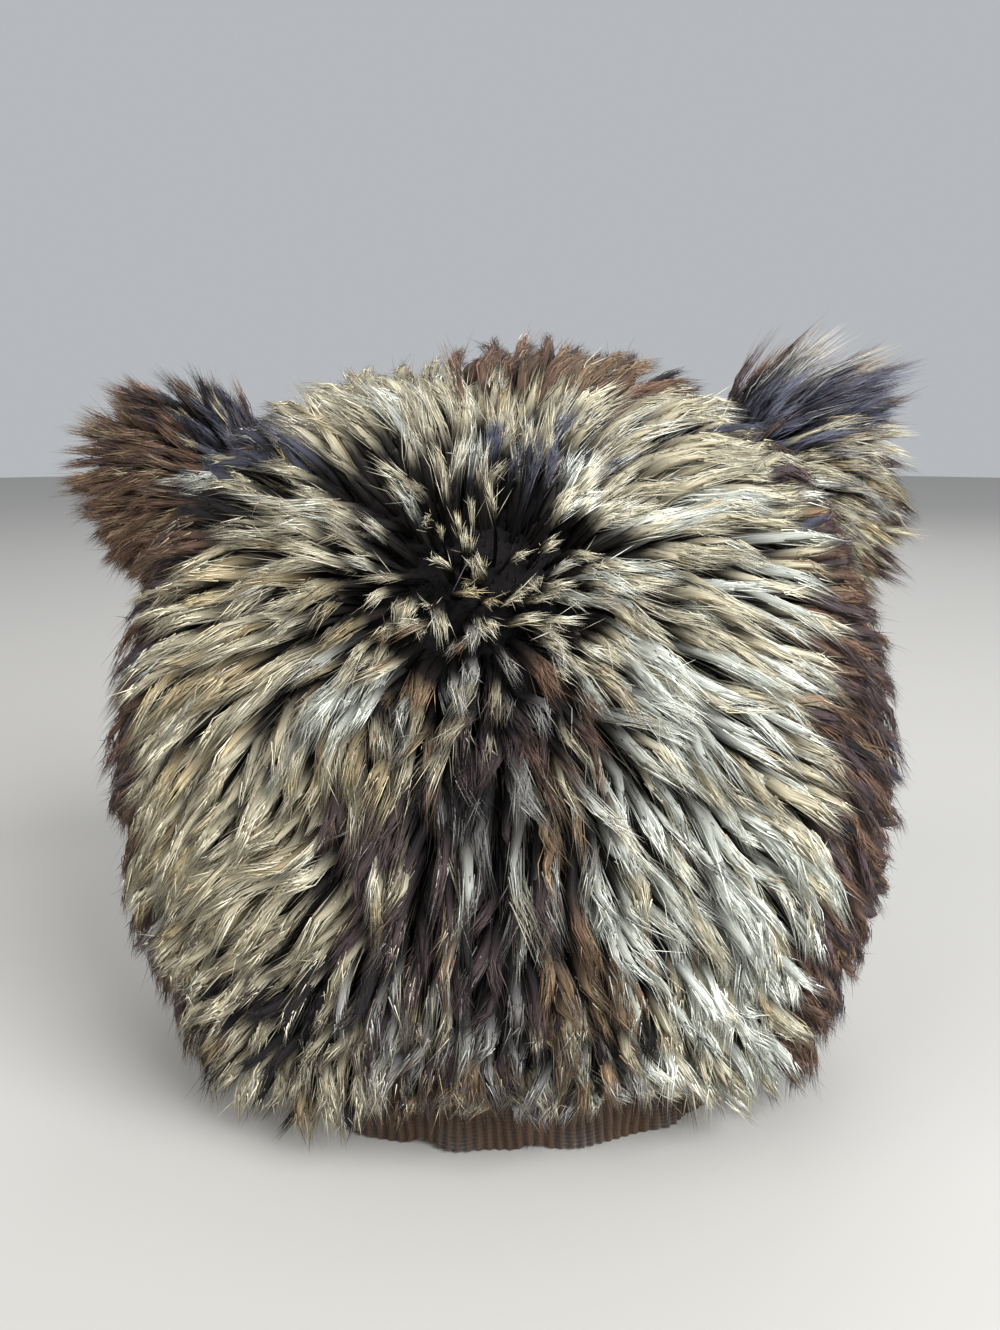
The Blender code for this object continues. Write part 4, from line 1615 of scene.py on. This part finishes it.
    def locks(self, chance: Chance) -> Locks:
        """Grow every lock and draw its tone.

        A spine swings from side to side as a sine of its station, more in the middle of the face. Near the
        whorl it leans at random by the power 1.5 of the station. The fade moves a lock along the map towards
        its tip's colour, most on the wearer's left, and towards its root's in the middle and at the whorl.

        Args:
            chance: source of random numbers.

        Returns:
            The locks.
        """
        towards = self.roots(chance)
        towards = towards[self.clear_of_ears(self.dome.point(towards))]
        count = len(towards)
        base = self.dome.point(towards)
        laid = self.lie.laid(base)
        brown = ~self.pattern.on_front(base) & (base[:, 0] < 0.0)
        share, scale = self.length_noise
        length = self.length * chance.uniform(0.8, 1.2, count)
        length = length * (1.0 + share * smooth_noise(base, scale, Noise.LENGTHS))
        tip_lift = self.tip_lifts(base, brown, chance)
        length = length * np.where(brown, self.brown_length, 1.0)
        azimuth = np.degrees(np.arctan2(towards[:, 0], -towards[:, 1]))
        spine, across, outward, length = self.trimmed(towards, azimuth, length, tip_lift, chance)
        stations = np.array(self.style.stations)
        phase = TURN * smooth_noise(base, self.wave_scale, Noise.WAVES)[:, None]
        phase = phase + chance.normal(0.0, 0.7, (count, 1))
        middle = bell((azimuth - self.opening_azimuth) / self.middle_spread)
        middle = middle * (base[:, 2] < self.lie.whorl[2] - self.middle_drop)
        swing = self.wave * (chance.uniform(0.6, 1.4, count) * (1.0 + self.curl * middle))[:, None] * stations
        spine = spine + across * (swing * np.sin(phase + self.wave_turn * stations))[..., None]
        lean = chance.normal(0.0, self.tuft_lean, (count, 3)) * (1.0 - laid**2)[:, None]
        spine = spine + lean[:, None] * (0.5 * length[:, None] * stations**1.5)[..., None]
        tone = self.pattern.pick(spine[:, 4], outward[:, 4], chance, on_ear=False)
        second = self.pattern.pick(spine[:, 4], outward[:, 4], chance, on_ear=False, freedom=2.0)
        share, scale = self.shade_noise
        shade = 0.5 + share * smooth_noise(base, scale, Noise.SHADES)
        shade = shade + chance.normal(0.0, self.shade_spread, count)
        half_width = self.style.half_width * chance.uniform(0.75, 1.3, count)
        fade = self.laid_fade + self.left_fade * np.clip(base[:, 0] / self.lie.left_reach, 0.0, 1.0)
        fade = (fade + self.whorl_fade) * laid**2 - self.whorl_fade - self.middle_fade * middle
        fade = fade + chance.normal(0.0, self.fade_spread, count)
        return Locks(spine, across, outward, tone, second, np.clip(shade, 0.0, 1.0), half_width, fade)

    def undercoat_mesh(self, chance: Chance) -> SurfaceMesh:
        """The dark coat between the locks: a shell with short fibres that stand half up along the pile's lie.

        A share of the fibres is gathered near the whorl, where the locks part. Its near-black finish is
        partly the coat's own dark base and partly painted shade deep between the locks.

        Args:
            chance: source of random numbers.

        Returns:
            The mesh's arrays.
        """
        shell = self.dome.shell("undercoat", 0.3 * MM, self.undercoat, self.dome.rim, 96, 32)
        share, pull = self.nap_gather
        near = heading(self.lie.whorl_azimuth, self.lie.whorl_elevation) * pull
        draws = 2 * self.nap
        towards = unit(chance.normal(size=(draws, 3)) + near * (chance.uniform(size=(draws, 1)) < share))
        towards = towards[self.dome.point(towards)[:, 2] > self.dome.rim + self.nap_margin][:self.nap]
        base = self.dome.point(towards)
        normal = self.dome.normal(towards)
        lie = self.lie.direction(base, normal)
        loose = chance.normal(0.0, self.nap_spread, base.shape)
        bent = unit(normal + lie * self.lie.laid(base)[:, None] + loose)
        length = self.nap_length * chance.uniform(0.6, 1.2, (len(base), 1))
        first = base + normal * 0.8 * self.undercoat
        radius = self.nap_radius * chance.uniform(0.7, 1.3, len(base))
        return joined("undercoat", [shell, spikes("nap", first, first + bent * length, radius, chance)])

    def underfur_mesh(self, chance: Chance) -> SurfaceMesh:
        """Short fibres that lie under the locks outside the whorl and show in the gaps between them.

        Each starts on the undercoat and runs along the lie, raised by a third of the normal. The map's x is
        the tone of the coat there and a shade, and its y runs over the reach from root to tip.

        Args:
            chance: source of random numbers.

        Returns:
            The mesh's arrays and its map.
        """
        towards = unit(chance.normal(size=(self.underfur_draws * self.underfur, 3)))
        base = self.dome.point(towards)
        kept = (base[:, 2] > self.dome.rim + self.underfur_margin) & self.pattern.on_front(base)
        kept &= self.lie.laid(base) > self.underfur_laid
        towards, base = towards[kept][:self.underfur], base[kept][:self.underfur]
        normal = self.dome.normal(towards)
        lie = self.lie.direction(base, normal)
        loose = chance.normal(0.0, self.underfur_spread, base.shape)
        bent = unit(lie + self.underfur_rise * normal + loose)
        length = self.underfur_length * chance.uniform(0.7, 1.2, (len(base), 1))
        first = base + normal * self.undercoat
        radius = self.underfur_radius * chance.uniform(0.7, 1.3, len(base))
        mesh = spikes("underfur", first, first + bent * length, radius, chance)
        tone = self.pattern.pick(first, normal, chance, on_ear=False, freedom=2.0)
        column = tone_column(tone, chance.normal(*self.underfur_shade, len(base)))[:, None]
        start, end = self.underfur_reach
        mesh.uv = map_of(column, np.array((start, start, start, end)))
        return mesh

    def build(self, fibre: Material, undercoat: Material) -> None:
        """Build the undercoat, the underfur and one piece of locks for each gore.

        Args:
            fibre: the pile's finish.
            undercoat: the undercoat's finish.
        """
        chance, chance_below, chance_between = (np.random.default_rng(self.seed + more) for more in range(3))
        dress(self.undercoat_mesh(chance_below).build(), undercoat, "crown_pile", "crown_fur")
        dress(self.underfur_mesh(chance_between).build("OFBake"), fibre, "crown_pile", "crown_fur")
        locks = self.locks(chance)
        azimuth = np.arctan2(locks.spine[:, 0, 0], -locks.spine[:, 0, 1])
        for name, numbers in zip(self.gores, np.array_split(np.argsort(azimuth), len(self.gores))):
            style = {"face": self.face_style, "side": self.side_style}.get(name.split("_")[1], self.style)
            fur = fur_mesh(name, locks.chosen(numbers), style, chance)
            dress(fur.build("OFBake"), fibre, "crown_pile", "crown_fur")
        LOG.info("crown: %d locks", len(locks.spine))


# The ears


@dataclass
class Ear:
    """One ear: a cupped flap and its locks, about a frame with +Z along the ear and -Y its front."""

    place: EarPlace
    dome: ClothDome
    pattern: CoatPattern
    half_width: float = 22.0 * MM
    half_thickness: float = 5.0 * MM
    half_length: float = 25.0 * MM
    stand: float = 12.0 * MM
    cup: float = 7.0 * MM
    locks: int = 420
    length: float = 29.0 * MM
    lowest_root: float = -0.50
    fan_root: float = -0.85
    rise: float = 5.0 * MM
    lean: float = 0.20
    face_cut: float = 0.40
    droop: float = 5.0 * MM
    wave: float = 1.8 * MM
    wave_turn: float = 3.2
    wave_scale: float = 18.0 * MM
    swirl: float = 0.22
    swirl_scale: float = 22.0 * MM
    fade: float = 0.10
    seed: int = 57

    def to_world(self, points: Array) -> Array:
        """Turn directions or points from the ear's own frame: rolled about its length, then tilted outwards.

        Args:
            points: positions or directions in the ear's frame, (..., 3).

        Returns:
            The same in the hat's frame, about the ear's root.
        """
        tilt, roll = math.radians(self.place.tilt), math.radians(self.place.roll)
        along = np.array((self.place.side * math.cos(tilt), 0.0, math.sin(tilt)))
        front = np.array((0.0, -1.0, 0.0))
        turn = np.stack((np.cross(front, along), -front, along), axis=1)
        cosine, sine = math.cos(roll), math.sin(roll)
        spin = np.array(((cosine, -sine, 0.0), (sine, cosine, 0.0), (0.0, 0.0, 1.0)))
        return points @ (turn @ spin).T

    @property
    def root(self) -> Array:
        """Point of the cloth at the middle of the ear's root."""
        return self.dome.point(heading(self.place.azimuth, self.place.elevation))

    def flap_points(self, sphere: Array) -> Array:
        """Flap over the unit sphere: an ellipsoid stood off the cloth, its middle pushed back by the cup.

        Args:
            sphere: points of the unit sphere, (..., 3).

        Returns:
            Points of the flap in the ear's frame.
        """
        x, y, z = np.moveaxis(sphere, -1, 0)
        return np.stack((x * self.half_width, y * self.half_thickness + self.cup * (1.0 - x * x),
                         z * self.half_length + self.stand), axis=-1)

    def flap(self) -> SurfaceMesh:
        """The flap as a closed surface: rings up the ellipsoid, cut level where it meets the cloth.

        Returns:
            The mesh's arrays.
        """
        sides, rings = 40, 20
        lowest = math.degrees(math.asin(-self.stand / self.half_length))
        rise = np.linspace(lowest, 90.0, rings + 1)[:-1, None]
        sphere = heading(360.0 * np.arange(sides) / sides, rise)
        points = self.flap_points(sphere).reshape(-1, 3)
        ends = self.flap_points(np.array(((0.0, 0.0, 1.0), (0.0, 0.0, -self.stand / self.half_length))))
        count = rings * sides
        quads = grid_quads(rings, sides, False, True)
        top = fan(count, count - sides, sides)
        bottom = fan(count + 1, 0, sides)[:, ::-1]
        world = self.to_world(np.concatenate((points, ends))) + self.root
        return SurfaceMesh(self.place.name + "_flap", world, quads, np.concatenate((top, bottom)))

    def fur(self) -> SurfaceMesh:
        """Locks rooted all over the flap, which lie along it and fan out from a point below its root.

        The roots follow a golden-angle spiral over the sphere. A spine leaves the flap along its lie, rises
        by 1 - (1 - s)^2 of the rise, sags by the square of the station and swings from side to side. The
        upper side's locks sweep outwards by the cube of it. The lower side's, the end's and the face's
        locks are cut shorter, and the lower ones fall towards the root.

        Returns:
            The mesh's arrays and its map.
        """
        chance = np.random.default_rng(self.seed + int(self.place.side))
        number = np.arange(self.locks) + 0.5
        height = self.lowest_root + (1.0 - self.lowest_root) * number / self.locks
        turn = number * math.pi * (3.0 - math.sqrt(5.0))
        flat = np.sqrt(1.0 - height**2)
        sphere = np.stack((flat * np.cos(turn), flat * np.sin(turn), height), axis=-1)
        start = self.flap_points(sphere)
        normal = unit(sphere / (self.half_width, self.half_thickness, self.half_length))
        away = unit(start - np.array((0.0, self.cup, self.fan_root * self.half_length)))
        swirl = smooth_noise(start + self.place.side, self.swirl_scale, Noise.EAR_SWIRLS)[:, None]
        away = unit(away + self.swirl * swirl * (1.0, 0.0, 0.0) + chance.normal(0.0, 0.07, start.shape))
        tilt = math.radians(self.place.tilt)
        down = np.array((-self.place.side * math.cos(tilt), 0.0, -math.sin(tilt)))
        upper = np.clip(self.place.side * sphere[:, 0], -1.0, 1.0)
        away = unit(away + down * self.place.fall * np.clip(0.9 - upper, 0.0, 1.0)[:, None])
        lie = unit(along_surface(away, normal) + self.lean * normal)
        top = np.clip(height, 0.0, 1.0)
        lie = unit(lie * (1.0 - top[:, None] ** 2) + away * top[:, None] ** 2)
        length = self.length * chance.uniform(0.7, 1.25, self.locks) * (1.0 - self.place.end_cut * top)
        length = length * (1.0 - self.place.lower_cut * np.clip(-upper, 0.0, 1.0))
        length = length * (1.0 + self.place.upper_growth * np.clip(upper, 0.0, 1.0))
        length = length * (1.0 - self.face_cut * np.abs(normal[:, 1]) * (1.0 - np.abs(sphere[:, 0])))
        stations = np.array(self.place.style.stations)
        rise = (1.0 - (1.0 - stations) ** 2)[None, :, None]
        spine = start[:, None] + lie[:, None] * (length[:, None] * stations)[..., None]
        spine = spine + normal[:, None] * rise * self.rise * (1.0 - 0.6 * top)[:, None, None]
        tangent = unit(np.gradient(spine, axis=1))
        outward = unit(along_surface(np.broadcast_to(normal[:, None], spine.shape), tangent))
        across = np.cross(outward, tangent)
        phase = TURN * smooth_noise(start, self.wave_scale, Noise.EAR_WAVES)[:, None]
        phase = phase + chance.normal(0.0, 0.7, (self.locks, 1))
        spine = spine + across * (self.wave * stations * np.sin(phase + self.wave_turn * stations))[..., None]
        world = self.to_world(spine) + self.root
        world = world - UP * self.droop * (stations**2)[:, None]
        swept = self.place.sweep * np.clip(upper, 0.0, 1.0)[:, None] * stations**3
        world = world + swept[..., None] * np.array((self.place.side, 0.0, 0.0))
        out_world = self.to_world(outward)
        tone = self.pattern.pick(world[:, 4], out_world[:, 4], chance, on_ear=True, freedom=1.5)
        second = self.pattern.pick(world[:, 4], out_world[:, 4], chance, on_ear=True, freedom=2.5)
        shade = np.clip(0.5 + chance.normal(0.0, 0.2, self.locks), 0.0, 1.0)
        half_width = self.place.style.half_width * chance.uniform(0.8, 1.4, self.locks)
        fade = self.fade + chance.normal(0.0, 0.06, self.locks)
        locks = Locks(world, self.to_world(across), out_world, tone, second, shade, half_width, fade)
        return fur_mesh(self.place.name + "_fur", locks, self.place.style, chance)

    def build(self, fibre: Material, undercoat: Material) -> None:
        """Build the flap and its fur.

        Args:
            fibre: the pile's finish.
            undercoat: the flap's finish.
        """
        dress(self.flap().build(), undercoat, self.place.slot, self.place.name)
        dress(self.fur().build("OFBake"), fibre, self.place.slot, self.place.name)


# The band and the cloth


@dataclass(frozen=True)
class Tuck:
    """A place where the band's folded edge is drawn up."""

    azimuth: float
    depth: float
    spread: float


@dataclass
class KnitBand:
    """The folded rib-knit band: a ring whose section is a rounded wall with ribs on both faces."""

    dome: ClothDome
    height: float = 30.0 * MM
    wall: float = 4.6 * MM
    edge: float = 1.3 * MM
    cloth_wall: float = 2.0 * MM
    ribs: int = 172
    steps_per_rib: int = 4
    rib_depth: float = 1.2 * MM
    lean: float = 0.045
    lean_scale: float = 14.0 * MM
    pucker: float = 1.5 * MM
    pucker_scale: float = 17.0 * MM
    fuzz: int = 2600
    fuzz_length: float = 2.6 * MM
    fuzz_radius: float = 0.07 * MM
    fuzz_clearance: float = 1.5 * MM
    seed: int = 91
    tucks: tuple[Tuck, ...] = (
        Tuck(-16.0, 2.2, 4.0),
        Tuck(7.0, 1.6, 4.0),
        Tuck(58.0, 1.8, 5.0),
        Tuck(131.0, 1.6, 5.0),
        Tuck(-141.0, 2.0, 5.0),
        Tuck(-68.0, 1.6, 5.0),
    )

    def section(self) -> tuple[Array, Array, Array]:
        """Corners of the wall's section, up its outer face and down its inner one, with rounded edges.

        Returns:
            Offset outwards, height, and how much of the ribs shows there, negative on the inner face.
        """
        half = 0.5 * self.wall
        bend = np.radians(np.linspace(-90.0, 0.0, 4))
        low_out = half - self.edge + self.edge * np.cos(bend)
        low_up = self.edge + self.edge * np.sin(bend)
        side_up = np.linspace(self.edge, self.height - self.edge, 4)[1:-1]
        out = np.concatenate((low_out, np.full(len(side_up), half), low_out[::-1]))
        up = np.concatenate((low_up, side_up, self.height - low_up[::-1]))
        rib = np.clip((out - (half - self.edge)) / self.edge, 0.0, 1.0)
        pairs = ((out, -out), (up, up), (rib, -rib))
        return tuple(np.concatenate((outer, inner[::-1])) for outer, inner in pairs)

    def build(self, knit: Material) -> None:
        """Carry the section round the rim.

        The ribs are a cosine of the step. Tucks lift the lower edge, and puckers and leaning ribs follow soft
        noise, both fading towards the upper edge or growing with the height.

        Args:
            knit: the band's finish.
        """
        out, up, rib = self.section()
        steps = self.ribs * self.steps_per_rib
        azimuth = 180.0 + 360.0 * np.arange(steps) / steps
        edge = self.dome.point(heading(azimuth, self.dome.rim_elevation(azimuth, self.dome.rim))) * LEVEL
        outward = unit(edge)
        middle = edge - outward * 0.5 * self.cloth_wall
        wave = np.cos(TURN * np.arange(steps) / self.steps_per_rib)
        offset = out[None] + 0.5 * self.rib_depth * wave[:, None] * rib[None]
        lift = np.zeros(steps)
        for tuck in self.tucks:
            away = np.abs((azimuth - tuck.azimuth + 180.0) % 360.0 - 180.0)
            lift += tuck.depth * MM * np.clip(1.0 - away / tuck.spread, 0.0, 1.0)
        low = np.clip(1.0 - up / self.height, 0.0, 1.0)
        rise = up + lift[:, None] * low
        ring = middle[:, None] + outward[:, None] * offset[..., None] + rise[..., None] * UP
        puff = self.pucker * smooth_noise(middle, self.pucker_scale, Noise.PUCKERS)[:, None] * low
        ring = ring + outward[:, None] * (puff * np.clip(up / self.edge, 0.3, 1.0))[..., None]
        lean = self.lean * smooth_noise(middle, self.lean_scale, Noise.RIB_LEAN)[:, None] * rise / self.height
        points = ring + np.stack((-ring[..., 1] * lean, ring[..., 0] * lean, 0.0 * lean), axis=-1)
        travel = np.concatenate(([0.0], np.cumsum(np.hypot(np.diff(out), np.diff(up)))))
        uv = np.stack(np.broadcast_arrays((azimuth / 360.0)[:, None], travel / self.height), axis=-1)
        quads = grid_quads(steps, len(out), True, True)
        mesh = SurfaceMesh("rib_band", points.reshape(-1, 3), quads, np.zeros((0, 3), int), uv.reshape(-1, 2))
        fuzz = self.fuzz_mesh(points, outward, uv)
        dress(joined("rib_band", [mesh, fuzz]).build(), knit, "rib_knit", "knit_band")

    def fuzz_mesh(self, points: Array, outward: Array, uv: Array) -> SurfaceMesh:
        """Short loose fibres of the yarn, rooted on the band's outer face and pointing anywhere outwards.

        Args:
            points: the band's grid, (steps, corners, 3).
            outward: level outward direction at each step, (steps, 3).
            uv: the grid's map, (steps, corners, 2).

        Returns:
            The fibres as spikes, each with the map position of its root.
        """
        chance = np.random.default_rng(self.seed)
        step = chance.integers(0, points.shape[0], 2 * self.fuzz)
        corner = chance.integers(1, points.shape[1] // 2, 2 * self.fuzz)
        share = chance.uniform(0.0, 1.0, (2 * self.fuzz, 1))
        root = points[step, corner] * share + points[step, corner - 1] * (1.0 - share)
        keep = np.flatnonzero(root[:, 2] > self.fuzz_clearance)[:self.fuzz]
        away = unit(outward[step] + chance.normal(0.0, 0.8, root.shape))[keep]
        length = self.fuzz_length * chance.uniform(0.4, 1.2, (len(keep), 1))
        last = root[keep] + away * length
        last[:, 2] = np.maximum(last[:, 2], FLOOR_GAP)
        radius = self.fuzz_radius * chance.uniform(0.7, 1.3, len(keep))
        mesh = spikes("fuzz", root[keep], last, radius, chance)
        mesh.uv = np.repeat(uv[step[keep], corner[keep]], 4, axis=0)
        return mesh


@dataclass
class Backing:
    """The cloth that carries the pile, seen only from below."""

    dome: ClothDome
    wall: float = 2.0 * MM

    def build(self, cloth: Material) -> None:
        """Build the cloth as a closed shell inside its outer face."""
        shell = self.dome.shell("backing_cloth", -self.wall, 0.0, self.dome.rim, 96, 28)
        dress(shell.build(), cloth, "backing_cloth", "crown")


# The studio


@dataclass(frozen=True)
class SoftBox:
    """A square soft light: where it stands, its width, its power and its warmth."""

    name: str
    place: tuple[float, float, float]
    width: float
    watts: float
    colour: tuple[float, float, float]

    def add(self, target: tuple[float, float, float]) -> None:
        """Add the light to the scene.

        Args:
            target: the point that it faces.
        """
        light = bpy.data.lights.new(self.name, "AREA")
        light.size = self.width
        light.energy = self.watts
        light.color = self.colour
        item = bpy.data.objects.new(self.name, light)
        item.location = self.place
        item.rotation_euler = (Vector(target) - Vector(self.place)).to_track_quat("-Z", "Y").to_euler()
        bpy.context.scene.collection.objects.link(item)


@dataclass(frozen=True)
class Studio:
    """A pale floor and soft lights round the hat."""

    target: tuple[float, float, float] = (0.0, 0.0, 0.10)
    floor_radius: float = 4.0
    floor_sides: int = 96
    floor_colour: tuple[int, int, int] = (178, 176, 172)
    sky_colour: tuple[float, float, float, float] = (0.85, 0.88, 0.92, 1.0)
    sky_strength: float = 0.55
    boxes: tuple[SoftBox, ...] = (
        SoftBox("key_light", (0.95, -1.25, 1.05), 1.0, 66.0, (0.98, 0.99, 1.0)),
        SoftBox("fill_light", (-1.2, -1.0, 1.0), 1.2, 20.0, (1.0, 0.98, 0.95)),
        SoftBox("back_light", (0.4, 1.4, 1.3), 1.2, 9.0, (1.0, 1.0, 1.0)),
    )

    def build(self) -> None:
        """Add the floor, the lights and the sky."""
        edge = self.floor_radius * heading(360.0 * np.arange(self.floor_sides) / self.floor_sides, 0.0)
        points = np.concatenate((edge, np.zeros((1, 3))))
        slices = fan(self.floor_sides, 0, self.floor_sides)
        floor = SurfaceMesh("floor", points, np.zeros((0, 4), int), slices).build()
        bench = Bench("studio_floor")
        bench.surface.inputs["Base Color"].default_value = linear(self.floor_colour)
        bench.surface.inputs["Roughness"].default_value = 0.6
        floor.data.materials.append(bench.material)
        for box in self.boxes:
            box.add(self.target)
        world = bpy.data.worlds.new("studio_sky")
        world.use_nodes = True
        sky = world.node_tree.nodes["Background"]
        sky.inputs["Color"].default_value = self.sky_colour
        sky.inputs["Strength"].default_value = self.sky_strength
        bpy.context.scene.world = world


def main() -> None:
    """Build the studio and every piece of the hat."""
    logging.basicConfig(level=logging.INFO, format="%(name)s: %(message)s")
    bpy.context.scene.view_settings.view_transform = "Standard"
    camera = PhotoCamera()
    camera.add()
    Studio().build()
    dome = ClothDome()
    pattern = CoatPattern(camera)
    fibre = FibreFinish().material()
    # The undercoat's near-black is partly the coat's own dark base and partly painted shade deep between the
    # locks and under the ears' fur.
    dark = UndercoatFinish("dark_undercoat", (5, 5, 6), (26, 23, 24)).material()
    cloth = UndercoatFinish("backing_cloth", (58, 46, 40), (84, 68, 58), 2200.0).material()
    # The knit's near-black is mostly painted shade in the grooves between the ribs and stitches.
    knit = KnitFinish("rib_knit", (76, 57, 42), (5, 4, 3), 172.0, 26.0).material()
    Backing(dome).build(cloth)
    KnitBand(dome).build(knit)
    CrownPile(dome, PileLie(dome), pattern).build(fibre, dark)
    for place in EAR_PLACES:
        Ear(place, dome, pattern).build(fibre, dark)


if __name__ == "__main__":
    main()
